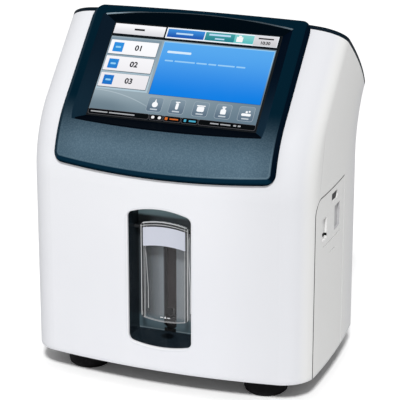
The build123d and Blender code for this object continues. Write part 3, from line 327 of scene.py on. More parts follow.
@dataclass(frozen=True)
class ShellMoulding(Moulding):
    """The white covers: soft drift, painted light and shade across the tone, painted shade in the door's
    seam, pockets and card slot, and a painted highlight on the lip round the window.
    """

    waves: float = 7.0
    streak: float = 0.3
    foot: Spot = (19, 23)
    painted_light_lift: tuple[Spot, Spot] = ((80, 180), (190, 215))
    painted_shade_right: Spot = (30, 108)
    flank: Spot = (118, 127)
    door_front: float = 33.0 + SHIFT
    door_rear: float = 117.6 + SHIFT
    door_top: float = 176
    door_corner: float = 13
    door_gap: float = 0.9
    crease: Spot = (42.5 + SHIFT, 236)
    crease_slope: float = 0.24
    card_pocket: tuple[Spot, Spot] = ((49.0 + SHIFT, 61.5 + SHIFT), (136.7, 156))
    grip_pocket: tuple[Spot, Spot] = ((84.0 + SHIFT, 100.5 + SHIFT), (136.5, 158))
    window: tuple[Spot, Spot] = ((28.9, 6), (44, 159))
    window_bow: Spot = (3.8, 5.6)
    front: float = SHIFT
    hair: float = 0.03      # how far a mark reaches past its pocket's edge

    def coats(self, recipe: Recipe) -> list[Coat]:
        """Painted light and shade across the tone, then the painted marks of the window, the crease and the
        door.

        Args:
            recipe: The material's recipe.

        Returns:
            The coats, lowest first.
        """
        across, height = recipe.place("X"), recipe.place("Z")
        side = across.ease(*self.flank)
        painted_light_lift = height.ease(*self.painted_light_lift[0]) * height.fall(*self.painted_light_lift[1])
        # Painted light: the front made paler up towards the fascia.
        return [(painted_light_lift * 0.4, srgb(247, 248, 251)),
                # Painted shade: the front darker towards the right.
                (across.ease(*self.painted_shade_right) * 0.9, srgb(225, 226, 230)),
                # Painted light: the right flank paler and more neutral than the front.
                (side, srgb(241, 241, 240)),
                # Painted shade along the lower edge of the covers.
                (height.fall(*self.foot) * 0.35, srgb(196, 198, 202)),
                *self._window(recipe), *self._painted_crease(recipe, side), *self._door(recipe, side)]

    def _window(self, recipe: Recipe) -> list[Coat]:
        """A painted highlight on the lip round the sampler window and a faint painted shade outside it.

        Args:
            recipe: The material's recipe.

        Returns:
            The coats.
        """
        across, height = recipe.place("X"), recipe.place("Z")
        (half, radius), (foot, head) = self.window
        share = across / half
        bow = 1 - share * share
        beyond = (foot - bow * self.window_bow[0] - height).most(height - bow * self.window_bow[1] - head)
        gap = recipe.rounded(abs(across) - half, beyond, radius)
        near = recipe.place("Y").fall(self.front + 2, self.front + 3)
        # Painted highlight on the rounded lip, and painted shade just outside it.
        lip = gap.within(-0.1, 0.5, 0.15) * near * 0.6
        shade = gap.within(1.2, 2.2, 0.8) * near * 0.3
        return [(shade, srgb(206, 209, 214)), (lip, srgb(250, 250, 250))]

    def _painted_crease(self, recipe: Recipe, side: Value) -> list[Coat]:
        """The faint crease above the door, painted: a highlight line with painted shade before it.

        Args:
            recipe: The material's recipe.
            side: 1 on the right flank.

        Returns:
            The coats.
        """
        height = recipe.place("Z")
        gap = recipe.place("Y") - self.crease[0] - (height - self.door_top) * self.crease_slope
        tall = height.ease(self.door_top + 2, self.door_top + 12)
        tall = tall * height.fall(self.crease[1] - 20, self.crease[1]) * side
        # Painted highlight along the crease and painted shade in front of it.
        glint = gap.within(-0.5, 0.5, 0.4) * tall * 0.5
        painted_crease_shade = gap.within(-3.5, -1.5, 1.0) * tall * 0.35
        return [(painted_crease_shade, srgb(214, 214, 213)), (glint, srgb(246, 246, 246))]

    def _door(self, recipe: Recipe, side: Value) -> list[Coat]:
        """Painted shade in the seam before and above the door, in the two pockets in it and in the card
        slot's opening.

        Args:
            recipe: The material's recipe.
            side: 1 on the right flank.

        Returns:
            The coats.
        """
        depth, height = recipe.place("Y"), recipe.place("Z")
        ahead, above = self.door_front - depth, height - self.door_top
        gap = recipe.rounded(ahead, above, self.door_corner)
        wide = (ahead - above).ease(-4, 4) * 0.15
        # Painted shade in the seam round the door.
        seam = (gap + wide).ease(-0.1, 0.02) * depth.fall(self.door_rear, self.door_rear + 0.2)
        seam = seam * (gap - wide).fall(self.door_gap - 0.02, self.door_gap + 0.1)
        (card_y, card_z), (grip_y, grip_z), hair = self.card_pocket, self.grip_pocket, self.hair
        # Painted shade on the card pocket's far wall.
        edge = depth.within(card_y[1] - 1.9, card_y[1] - 0.5, 0.1)
        edge = edge * height.within(*card_z, hair)
        # Painted shade: a black slit in the card slot's opening.
        slit = height.within(card_z[0] + 2.2, card_z[0] + 4.6, 0.2)
        slit = slit * depth.within(card_y[0] - hair, card_y[1] + hair, 0.02)
        # Painted shade inside the grip pocket.
        grip = height.within(grip_z[0] - hair, grip_z[1] + hair, 0.02)
        grip = grip * depth.within(grip_y[0] - hair, grip_y[1] + hair, 0.02)
        return [(grip * side, srgb(190, 190, 192)), (edge * side, srgb(120, 120, 120)),
                (slit * side, srgb(18, 18, 18)), (seam * side, srgb(84, 84, 84))]


@dataclass(frozen=True)
class FasciaGloss:
    """Dark face around the picture: a pale painted reflection along its foot, a darker sloping rim with
    painted light and shade, black bevels at the well with painted light and a painted highlight.
    """

    name: str = "fascia_gloss"
    upper: Colour = srgb(1, 28, 42)
    painted_reflection_band: Colour = srgb(82, 106, 122)
    rim: Colour = srgb(8, 40, 58)
    painted_light_rim_left: Colour = srgb(28, 46, 58)
    painted_shade_rim_right: Colour = srgb(0, 13, 27)
    # Painted highlight line where the rim meets the face.
    line: Colour = srgb(128, 150, 162)
    half_width: float = 99.8
    bottom: float = 195
    sag: float = 4
    crown: float = 0.000603         # how much the face curves back, for each square millimetre across
    well_half: Spot = (77.0, 46.5)
    side_run: float = 1.85
    top_run: float = 1.1
    foot_run: float = 1.35
    left_margin: float = 3.5
    foot_margin: float = 1.6

    def build(self) -> Material:
        """Makes the material.

        Returns:
            The material.
        """
        recipe = Recipe(self.name)
        base = recipe.layers(self._face(recipe), self._rim(recipe) + self._bevels(recipe))
        fine = recipe.noise(1800.0, 2.0)
        return recipe.surface(Base_Color=base, Roughness=fine * 0.08 + 0.45, Specular_IOR_Level=0.012,
                              Normal=recipe.bump(fine, 0.000004))

    def _face(self, recipe: Recipe) -> Tone:
        """The face: dark beside the picture, with a pale painted reflection along its foot, dimmed at the
        left foot and mottled.

        Args:
            recipe: The material's recipe.

        Returns:
            The colour.
        """
        across, height = recipe.place("X"), recipe.place("Z") - self.bottom
        # Painted reflection: the pale band along the foot, dimmed at the left foot, with a painted mottle.
        fade = height.fall(14, 54) * (1 - abs(across).ease(70, 98) * 0.25)
        painted_reflection_mottle = recipe.noise(900.0, 3.0).ease(0.35, 0.75) * fade
        dim = height.fall(2, 20) * across.fall(10, 80)
        return recipe.layers(self.upper, [(fade, self.painted_reflection_band), (dim * 0.45, srgb(58, 84, 100)),
                                          (painted_reflection_mottle * 0.3, srgb(126, 150, 164))])

    def _rim(self, recipe: Recipe) -> list[Coat]:
        """The sloping rim, painted lighter on the left and darker on the right, darker towards its foot edge,
        with a thin painted highlight line where it meets the face.

        Args:
            recipe: The material's recipe.

        Returns:
            The coats.
        """
        across, height = recipe.place("X"), recipe.place("Z") - self.bottom
        beside, share = self.half_width - abs(across), across / self.half_width
        below = height + (1 - share * share) * self.sag
        inset = -recipe.rounded(-beside, 2.4 - below, 7)
        # Painted light on the left rim and painted shade on the right rim.
        ends = recipe.mix(across.ease(-1, 1), self.painted_light_rim_left, self.painted_shade_rim_right)
        tone = recipe.layers(ends, [((beside - below).ease(-3, 1), self.rim),
                                    (below.fall(1.2, 2.8), srgb(0, 16, 28))])
        low = height.fall(12, 40) * (across.ease(10, 80) * 0.25 + 0.08)
        # The rim's tone, then a thin painted highlight line where it meets the face.
        return [(inset.fall(3.2, 4.0), tone), (inset.within(4.2, 5.0, 0.3) * low, self.line)]

    def _bevels(self, recipe: Recipe) -> list[Coat]:
        """The four bevels of the well, with painted light and shade on the side bevels and a painted
        highlight along the top bevel's edge.

        Args:
            recipe: The material's recipe.

        Returns:
            The coats.
        """
        across, up, out = recipe.plane()
        right = across.ease(-1, 1)
        beside = abs(across) - out * self.side_run - self.well_half[0]
        above = up - out * self.top_run - self.well_half[1]
        below = -up - out * self.foot_run - self.well_half[1]
        inside_side = (beside - (1 - right) * self.left_margin).fall(0.2, 0.5)
        inside_foot = below.fall(self.foot_margin, self.foot_margin + 0.4)
        inside_top = above.fall(0.2, 0.5)
        side = beside.ease(-0.5, -0.3) * inside_side * inside_top * inside_foot
        top = above.ease(-0.5, -0.3) * inside_top * beside.fall(0.2, 0.5)
        foot = below.ease(-0.5, -0.3) * inside_foot * inside_side
        # Painted light and shade: the side bevels grow lighter towards the foot, the right one darker than
        # the left.
        down = up.fall(-50, 30)
        left_side = recipe.mix(down, srgb(8, 24, 37), srgb(16, 38, 52))
        right_side = recipe.mix(down * down, srgb(0, 10, 24), srgb(20, 42, 58))
        # Painted highlight along the top bevel's outer edge.
        lip = (out + across * across * self.crown).ease(8.2, 8.5)
        bright = lip * (across.ease(60, 90) * 0.35 + (-across).ease(55, 80) + 0.22)
        head = recipe.mix(bright.least(1.0), srgb(0, 9, 17), srgb(140, 158, 168))
        return [(foot, srgb(0, 4, 11)), (side, recipe.mix(right, left_side, right_side)), (top, head)]


@dataclass(frozen=True)
class LinerGloss:
    """Recess lining: dark walls, a paler rear wall with painted light along its head, a thin painted
    highlight line along its foot, painted shade in the channel opening and a painted reflection on the floor.
    """

    name: str = "liner_navy"
    rear: float = 25.0 + SHIFT
    floor_rear: float = 46.5

    def build(self) -> Material:
        """Makes the material.

        Returns:
            The material.
        """
        recipe = Recipe(self.name)
        across, depth, height = (recipe.place(axis) for axis in "XYZ")
        back = depth.ease(self.rear - 0.3, self.rear - 0.1)
        walls = recipe.mix(height.fall(45, 110), srgb(30, 38, 44), srgb(24, 33, 40))
        rear = recipe.layers(srgb(56, 62, 66), [(across.slope(-20, -6), srgb(124, 132, 138)),
                                                (across.slope(4, 16), srgb(136, 141, 145)),
                                                (height.fall(56, 62), srgb(78, 96, 104)),
                                                # Painted light along the head of the rear wall.
                                                (height.ease(149, 152), srgb(166, 196, 204))])
        # Painted highlight: a thin line along the foot of the rear wall.
        line = height.within(self.floor_rear + 0.2, self.floor_rear + 0.8) * back
        # Painted shade in the channel opening below the flap.
        slot = across.within(-5.4, 5.4, 0.4) * height.fall(49, 50)
        ahead, wide = (depth - self.rear + 7) / 4, (across - 0.5) / 6
        # Painted reflection: a dark spot on the glossy floor.
        spot = (ahead * ahead + wide * wide).fall(0.6, 1.3)
        dark = (slot * back).most(spot * (1 - back) * 0.85)
        base = recipe.layers(walls, [(back, rear), (line, srgb(128, 140, 146)), (dark, srgb(4, 6, 8))])
        fine = recipe.noise(1500.0, 2.0)
        return recipe.surface(Base_Color=base, Roughness=fine * 0.06 + 0.2, Specular_IOR_Level=0.25,
                              Normal=recipe.bump(fine, 0.000004))


@dataclass(frozen=True)
class Metal:
    """Plain or brushed metal with fine streaks."""

    name: str
    colour: Colour
    streak: tuple[float, float, float] = (1.0, 1.0, 30.0)
    roughness: float = 0.32
    metallic: float = 1.0

    def build(self) -> Material:
        """Makes the material.

        Returns:
            The material.
        """
        recipe = Recipe(self.name)
        lines = recipe.noise(160.0, 4.0, self.streak)
        base = recipe.mix(lines, self.colour, tuple(level * 0.82 for level in self.colour))
        return recipe.surface(Base_Color=base, Metallic=self.metallic,
                              Roughness=lines * 0.14 + (self.roughness - 0.07),
                              Normal=recipe.bump(lines, 0.000006))


@dataclass(frozen=True)
class Clear:
    """Clear moulded plastic that shows as a pale haze, with a painted reflection that makes it brighter where
    it is seen edge on.
    """

    name: str
    colour: Colour = srgb(150, 156, 158)
    haze: float = 0.34

    def build(self) -> Material:
        """Makes the material.

        Returns:
            The material.
        """
        recipe = Recipe(self.name)
        # Painted reflection: paler colour where the plastic is seen edge on.
        rim = Value(recipe, recipe.node("ShaderNodeLayerWeight", inputs={"Blend": 0.35}).outputs["Facing"])
        cloud = recipe.noise(60.0, 2.0)
        return recipe.surface(Base_Color=recipe.mix(rim, self.colour, srgb(225, 230, 232)),
                              Alpha=rim * 0.55 + cloud * 0.03 + self.haze, Roughness=cloud * 0.03 + 0.06,
                              IOR=1.49)


@dataclass(frozen=True)
class FlapClear(Clear):
    """The sampler flap's plastic: a faint haze with painted highlights along its polished edges and painted
    shade in dark bands beside them.
    """

    colour: Colour = srgb(200, 200, 202)
    haze: float = 0.03
    half_width: float = 21.4
    front: float = 12.4 + SHIFT
    arc: float = 2.8
    foot: float = 59.2
    head: float = 149.8
    cheek_deep: Spot = (6.0, 11.0)
    cheek_z: Spot = (85, 124)
    eye: Spot = (9.1, 142)

    def build(self) -> Material:
        """Makes the material.

        Returns:
            The material.
        """
        recipe = Recipe(self.name)
        across, depth, height = (recipe.place(axis) for axis in "XYZ")
        share = across / self.half_width
        bow = share * share * self.arc
        inset, below = self.half_width - abs(across), self.head - bow - height
        face = depth.fall(self.front + 2.4, self.front + 2.6)
        # Painted highlights along the edges and the cheeks.
        line = self._painted_highlight_lines(inset, below, height - bow - self.foot) * face
        line = line.most(self._painted_cheek_highlights(recipe, inset)).least(1.0)
        # Painted shade: dark bands beside the highlight lines.
        painted_shade_bands = below.within(0.9, 2.2, 0.15).most(below.within(3.1, 3.8, 0.15))
        painted_shade_bands = painted_shade_bands.most(inset.within(0.7, 2.3, 0.15)) * face * (1 - line)
        cloud = recipe.noise(60.0, 2.0)
        base = recipe.layers(self.colour, [(line, srgb(250, 252, 254)), (painted_shade_bands, srgb(6, 9, 11))])
        alpha = (line * 0.8 + painted_shade_bands * 0.5 + cloud * 0.02 + self.haze).least(1.0)
        return recipe.surface(Base_Color=base, Alpha=alpha, Roughness=cloud * 0.03 + 0.1, IOR=1.49,
                              Specular_IOR_Level=0.25)

    @staticmethod
    def _painted_highlight_lines(inset: Value, below: Value, above: Value) -> Value:
        """Painted highlights: double lines along the sides and the arched top, and a faint one along the
        foot.

        Args:
            inset: Distance from the nearer side edge.
            below: Distance below the top edge.
            above: Distance above the foot.

        Returns:
            How bright the lines are.
        """
        sides = (inset.within(2.5, 2.85, 0.12) * 0.75).most(inset.fall(0.3, 0.5))
        top = below.fall(0.4, 0.7).most(below.within(2.4, 2.9, 0.15) * 0.8)
        return sides.most(top).most(above.fall(0.25, 0.5) * 0.4)

    def _painted_cheek_highlights(self, recipe: Recipe, inset: Value) -> Value:
        """Painted highlights on the rear edges of the two cheeks.

        Args:
            recipe: The material's recipe.
            inset: Distance from the nearer side edge.

        Returns:
            How bright the edges are.
        """
        height, (near, far) = recipe.place("Z"), self.cheek_deep
        deeper = height.slope(self.cheek_z[1], self.cheek_z[0]) * (far - near)
        eye = height.slope(self.cheek_z[1], self.eye[1]) * (self.eye[0] - near)
        depth = recipe.place("Y") - self.front
        return (depth - deeper - eye).ease(near - 0.5, near - 0.3) * inset.ease(1.3, 1.5)


@dataclass(frozen=True)
class Rubber:
    """Black rubber with a dusty bloom towards the table."""

    name: str = "foot_rubber"
    colour: Colour = (0.006, 0.006, 0.007)
    bloom: float = 5.0

    def build(self) -> Material:
        """Makes the material.

        Returns:
            The material.
        """
        recipe = Recipe(self.name)
        speck = recipe.noise(700.0, 3.0)
        dust = recipe.place("Z").fall(0.0, self.bloom) * speck.ease(0.45, 0.75) * 0.5
        base = recipe.mix(dust, self.colour, (0.02, 0.019, 0.018))
        return recipe.surface(Base_Color=base, Roughness=speck * 0.15 + 0.5, Specular_IOR_Level=0.08,
                              Normal=recipe.bump(speck, 0.00003))


@dataclass(frozen=True)
class Carton:
    """Pale coated board of the reagent pack, with a plain grey band."""

    name: str = "pack_carton"
    band: Spot = (120, 128)

    def build(self) -> Material:
        """Makes the material.

        Returns:
            The material.
        """
        recipe = Recipe(self.name)
        fibre = recipe.noise(300.0, 5.0)
        base = recipe.layers(srgb(226, 228, 230), [
            (fibre * 0.4, srgb(206, 208, 212)),
            (recipe.place("Z").within(*self.band), srgb(120, 140, 158))])
        return recipe.surface(Base_Color=base, Roughness=fibre * 0.1 + 0.5,
                              Normal=recipe.bump(fibre, 0.00002))


@dataclass(frozen=True)
class Circuit:
    """Solder mask with fine tracks, and dark parts in front of the board."""

    name: str = "circuit_board"
    board_face: float = 170.9 + SHIFT

    def build(self) -> Material:
        """Makes the material.

        Returns:
            The material.
        """
        recipe = Recipe(self.name)
        tracks = recipe.node("ShaderNodeTexBrick", {"offset": 0.5}, {
            "Vector": recipe.node("ShaderNodeTexCoord").outputs["Object"], "Scale": 90.0, "Mortar Size": 0.03,
            "Color1": (0.006, 0.05, 0.02), "Color2": (0.008, 0.06, 0.024), "Mortar": (0.02, 0.12, 0.05)})
        part = recipe.place("Y").fall(self.board_face - 0.4, self.board_face - 0.2)
        base = recipe.mix(part, tracks.outputs[0], (0.015, 0.015, 0.017))
        return recipe.surface(Base_Color=base, Roughness=recipe.noise(400.0) * 0.1 + 0.3)


@dataclass(frozen=True)
class DarkGlass:
    """Touch glass outside the lit picture: near black and glossy."""

    name: str = "touch_glass"

    def build(self) -> Material:
        """Makes the material.

        Returns:
            The material.
        """
        recipe = Recipe(self.name)
        smear = recipe.noise(24.0, 4.0)
        base = recipe.mix(smear, (0.002, 0.003, 0.004), (0.006, 0.008, 0.01))
        return recipe.surface(Base_Color=base, Roughness=smear * 0.05 + 0.1, Specular_IOR_Level=0.1)


@dataclass(frozen=True)
class Lit:
    """Part of the lit picture: its own light, with a gradient up the screen."""

    name: str
    low: Colour
    high: Colour
    foot: float = -45.7
    head: float = 45.7
    drift: float = 0.02

    def build(self) -> Material:
        """Makes the material.

        Returns:
            The material.
        """
        recipe = Recipe(self.name)
        share = recipe.plane()[1].ease(self.foot, self.head)
        cloud = recipe.noise(30.0, 2.0)
        colour = recipe.layers(recipe.mix(share, self.low, self.high),
                               [*self.tints(recipe), (cloud * self.drift, (1.0, 1.0, 1.0))])
        return recipe.surface(Base_Color=(0.0, 0.0, 0.0), Roughness=1.0, Emission_Color=colour,
                              Emission_Strength=1.0, Specular_IOR_Level=0.02)

    def tints(self, recipe: Recipe) -> list[Coat]:
        """A plain patch has no tint of its own."""
        return []


@dataclass(frozen=True)
class Backdrop(Lit):
    """The grey behind the buttons: darker to the right, with a pale curved sweep from the left."""

    edge: float = 76.0

    def tints(self, recipe: Recipe) -> list[Coat]:
        """The fade to the right, the shade below the sweep and the sweep.

        Args:
            recipe: The material's recipe.

        Returns:
            The coats.
        """
        across, up, _ = recipe.plane()
        along = (across + self.edge) / 60
        bow = up + 21 + along * along * 16
        below = bow.fall(-14, 0) * across.fall(-60, -20) * 0.35
        sweep = bow.within(-0.3, 0.3, 0.4) * 0.5 * across.fall(-40, -5)
        return [(across.ease(-40, self.edge) * 0.7, srgb(88, 112, 130)), (below, srgb(60, 84, 100)),
                (sweep, srgb(205, 218, 226))]


@dataclass(frozen=True)
class PicturePlane:
    """Where the lit picture lies, worked out as the CAD does."""

    lean: float = radians(43.6)
    bend_z: float = 180.0
    bend_radius: float = 88.0
    up_slope: float = 41.7
    behind: float = 9.0 - 4.0 * cos(radians(43.6))

    @property
    def origin(self) -> Vector:
        """The middle of the picture.

        Returns:
            The place in the row frame, in metres.
        """
        rise, run = sin(self.lean), cos(self.lean)
        y = self.bend_radius * (1 - run) + self.up_slope * rise + self.behind * run
        z = self.bend_z + self.bend_radius * rise + self.up_slope * run - self.behind * rise
        return Vector((0, (y + SHIFT) * MM, z * MM))

    @property
    def matrix(self) -> Matrix:
        """Turns picture coordinates in metres into the row frame."""
        turn = Euler((pi / 2 - self.lean, 0, 0)).to_matrix().to_4x4()
        return Matrix.Translation(self.origin) @ turn


class Corner(Enum):
    """How the corners of a flat patch are cut, each with its number of segments."""

    SHARP = 0
    ROUND = 5


class Fitter:
    """Turns bmesh shapes into finished pieces that ride on a body."""

    @staticmethod
    def finish(name: str, shape: BMesh, finish: Material, body: str, slot: str) -> None:
        """Makes the object and lets it ride.

        Args:
            name: The piece's name.
            shape: Its shape in the row frame; it is freed here.
            finish: Its material.
            body: The CAD body that it moves with.
            slot: Not used.
        """
        bmesh.ops.recalc_face_normals(shape, faces=shape.faces)
        mesh = bpy.data.meshes.new(name)
        shape.to_mesh(mesh)
        shape.free()
        made = bpy.data.objects.new(name, mesh)
        bpy.context.scene.collection.objects.link(made)
        mesh.materials.append(finish)
        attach(made, body)
        log.info("%s: %d faces on %s", name, len(mesh.polygons), body)

    @staticmethod
    def slab(shape: BMesh, x: Spot, y: Spot, z: Spot, corner: Corner = Corner.SHARP,
             radius: float = 0.0, place: Matrix = Matrix.Identity(4)) -> None:
        """Adds a thin block, in millimetres, to a shape.

        Args:
            shape: The shape that grows.
            x: Range across.
            y: Range up.
            z: Range outwards.
            corner: How its upright corners are cut.
            radius: Corner radius.
            place: Turns its coordinates in metres into the row frame.
        """
        made = bmesh.ops.create_cube(shape, size=1.0)["verts"]
        size = Vector((x[1] - x[0], y[1] - y[0], z[1] - z[0])) * MM
        middle = Vector((x[0] + x[1], y[0] + y[1], z[0] + z[1])) * MM / 2
        bmesh.ops.scale(shape, vec=size, verts=made)
        if corner is Corner.ROUND:
            upright = {edge for vert in made for edge in vert.link_edges
                       if abs((edge.verts[0].co - edge.verts[1].co).z) > size.z * 0.9}
            done = bmesh.ops.bevel(shape, geom=list(upright), offset=radius * MM, segments=corner.value,
                                   profile=0.5, affect="EDGES", material=-1)
            made = list({vert for face in done["faces"] for vert in face.verts}
                        | {vert for vert in made if vert.is_valid})
        bmesh.ops.transform(shape, matrix=place @ Matrix.Translation(middle), verts=made)


@dataclass
class Picture:
    """The lit picture: thin patches on the touch glass, in millimetres on its plane, in screen colours."""

    plane: PicturePlane = field(default_factory=PicturePlane)
    width: float = 152.4
    height: float = 91.4
    thick: float = 0.04
    bar_foot: float = 34.0
    column: Spot = (-76.0, -28.4)
    button: Spot = (-75.0, -30.5)
    button_rows: tuple[Spot, ...] = ((15.0, 28.8), (-1.5, 12.7), (-17.6, -4.0))
    square: float = 9.3
    panel: tuple[Spot, Spot] = ((-26.0, 73.7), (-20.5, 30.6))
    icons: tuple[float, ...] = (-24.4, -4.4, 16.9, 37.2, 57.6)
    icon_size: float = 13.3
    icon_foot: float = -36.9
    status: Spot = (-44.8, -40.0)
    ink: Colour = (14, 14, 18)

    @staticmethod
    def settle(name: str, shape: BMesh, finish: Lit) -> None:
        """Fixes a finished shape to the glass."""
        Fitter.finish(name, shape, finish.build(), "housing", "screen")

    def patch(self, name: str, spans: list[tuple[Spot, Spot]], level: float, low: Colour,
              high: Colour | None = None, radius: float = 0.0, kind: type[Lit] = Lit, **fade: float) -> None:
        """One piece made of several patches at one level.

        Args:
            name: The piece's name.
            spans: Ranges across and up.
            level: Millimetres above the glass.
            low: Colour at the foot of the gradient, or all over.
            high: Colour at its head.
            radius: Corner radius.
            kind: The lit finish.
            fade: The gradient's foot and head and its drift.
        """
        shape = bmesh.new()
        corner = Corner.ROUND if radius else Corner.SHARP
        for x, y in spans:
            Fitter.slab(shape, x, y, (level, level + self.thick), corner, radius, self.plane.matrix)
        self.settle(name, shape, kind(f"lit_{name}", srgb(*low), srgb(*(high or low)), **fade))

    def digits(self, name: str, words: list[tuple[str, Spot]], size: float, level: float,
               ink: Colour) -> None:
        """Plain digits, made a mesh before they are placed.

        Args:
            name: The piece's name.
            words: Digits and the middle of their place.
            size: Their height.
            level: Millimetres above the glass.
            ink: Their colour.
        """
        shape = bmesh.new()
        for word, (x, y) in words:
            curve = bpy.data.curves.new(name, "FONT")
            curve.body, curve.size, curve.extrude = word, size * 1.4 * MM, self.thick / 2 * MM
            curve.align_x, curve.align_y, curve.offset = "CENTER", "CENTER", size * 0.045 * MM
            curve.resolution_u = 4
            source = bpy.data.objects.new(name, curve)
            flat = bpy.data.meshes.new_from_object(source)
            flat.transform(self.plane.matrix @ Matrix.Translation(Vector((x, y, level)) * MM))
            shape.from_mesh(flat)
            bpy.data.objects.remove(source)
            bpy.data.curves.remove(curve)
            bpy.data.meshes.remove(flat)
        self.settle(name, shape, Lit(f"lit_{name}", srgb(*ink), srgb(*ink), drift=0.01))

    def backdrop(self) -> None:
        """The grey background and the black bars above and below it."""
        half, tall = self.width / 2, self.height / 2
        self.patch("picture_background", [((-half, half - 1.3), (self.status[0] + 4, self.bar_foot))], 0.02,
                   (120, 140, 152), (150, 168, 178), kind=Backdrop, foot=-40, head=-20)
        bars = [((-half, half), (self.bar_foot - 1.5, tall)), ((-half, half), (-tall, self.status[1]))]
        self.patch("picture_bars", bars, 0.07, (12.9, 20, 25.5), drift=0.002)

    def header(self) -> None:
        """The white button, the framed blue and green bars and the clock box."""
        self.patch("header_button", [((-76.0, -28.7), (35.2, 45.2))], 0.12, (214, 214, 220), (252, 252, 255),
                   foot=34, head=46, drift=0.2)
        self.patch("header_frame", [((-27.2, 74.4), (34.8, 45.4))], 0.12, (226, 240, 250), (240, 248, 255))
        bars = {"header_blue": ((-26.0, 7.8), (20, 84, 176), (52, 136, 216)),
                "header_green": ((8.7, 35.2), (26, 128, 140), (60, 156, 160)),
                "header_light": ((35.2, 52.6), (88, 190, 190), (130, 205, 205))}
        for name, (x, low, high) in bars.items():
            self.patch(name, [(x, (36.0, 44.2))], 0.17, low, high, foot=36, head=44)
        self.patch("header_clock", [((52.8, 73.9), (35.2, 45.0))], 0.17, (205, 205, 208), (222, 222, 226),
                   foot=35, head=45)
        words = [((-18.0, -2.5), (39.3, 40.9)), ((12.0, 31.5), (41.0, 42.7)), ((18.0, 26.5), (37.6, 38.8))]
        self.patch("header_words", words, 0.22, (190, 222, 248))
        bottle = [((37.2, 43.0), (37.0, 42.0)), ((38.8, 41.4), (42.0, 43.4))]
        self.patch("header_bottle", bottle, 0.22, (250, 250, 250), radius=0.5)

    def column_buttons(self) -> None:
        """Three white buttons, each with a blue square and two digits."""
        self.patch("column_back", [(self.column, (-20.0, 31.2))], 0.07, (176, 198, 210), (128, 150, 166),
                   foot=-20, head=31)
        (x0, x1), rows, side = self.button, self.button_rows, self.square
        edges = [((x0 - 0.3, x1 + 0.5), (low - 0.7, high + 0.2)) for low, high in rows]
        self.patch("column_shadows", edges, 0.10, (96, 110, 120), radius=0.5)
        self.patch("column_buttons", [((x0, x1), row) for row in rows], 0.15, (236, 234, 238),
                   (252, 252, 255), 0.4, foot=-18, head=29)
        at = x0 + 3.4
        squares = [((at, at + side), (low + 2.1, low + 2.1 + side)) for low, _ in rows]
        self.patch("column_squares", squares, 0.20, (12, 112, 198), (40, 142, 222), 0.3, foot=-18, head=28)
        ticks = [((at + 2.2, at + 7.1), (low + 5.9, low + 7.6)) for low, _ in rows]
        self.patch("column_ticks", ticks, 0.25, (150, 210, 245), radius=0.6)
        middle = (x0 + x1) / 2 + 5
        words = [(f"{number:02d}", (middle, sum(row) / 2)) for number, row in enumerate(rows, 1)]
        self.digits("column_digits", words, 5.2, 0.22, (24, 28, 38))

    def main_panel(self) -> None:
        """The large blue panel with two pale lines in place of words."""
        x, y = self.panel
        self.patch("panel_edge", [((x[0] - 0.5, x[1] + 0.6), (y[0] - 0.4, y[1] + 0.9))], 0.10, (24, 90, 150),
                   (150, 205, 245), foot=-20, head=31)
        self.patch("panel_blue", [(x, y)], 0.15, (0, 126, 228), (88, 170, 240), foot=-22, head=34, drift=0.01)
        left = x[0] + 5
        self.patch("panel_title", [((left, left + 22), (20.4, 22.6))], 0.20, (214, 236, 252), radius=0.8)
        words = ((0.0, 8.0), (9.5, 29.0), (30.5, 40.5), (42.0, 49.5), (51.0, 67.0), (68.5, 77.0))
        line = [((left + start * 0.95, left + end * 0.95), (12.2, 13.6)) for start, end in words]
        self.patch("panel_line", line, 0.20, (150, 204, 246), radius=0.4)

    def icon_row(self) -> None:
        """Five rounded tiles with plain pictures of drops and vessels."""
        foot, size = self.icon_foot, self.icon_size
        top = foot + size
        rims = [((x - 0.35, x + size + 0.35), (foot - 0.35, top + 0.35)) for x in self.icons]
        self.patch("icon_rims", rims, 0.10, (160, 174, 184), radius=2.2)
        self.patch("icon_tiles", [((x, x + size), (foot, top)) for x in self.icons], 0.15, (92, 112, 130),
                   (128, 148, 162), 2.0, foot=-37, head=-23)
        lines = [((x + 3.4, x + size - 3.4), (foot + 1.4, foot + 2.6)) for x in self.icons]
        self.patch("icon_lines", lines, 0.20, (196, 206, 214), radius=0.5)
        shape = bmesh.new()
        for number, x in enumerate(self.icons):
            self.vessel(shape, number, x + size / 2, foot + 7.6)
        white = srgb(250, 252, 255)
        self.settle("icon_marks", shape, Lit("lit_icon_marks", white, white))

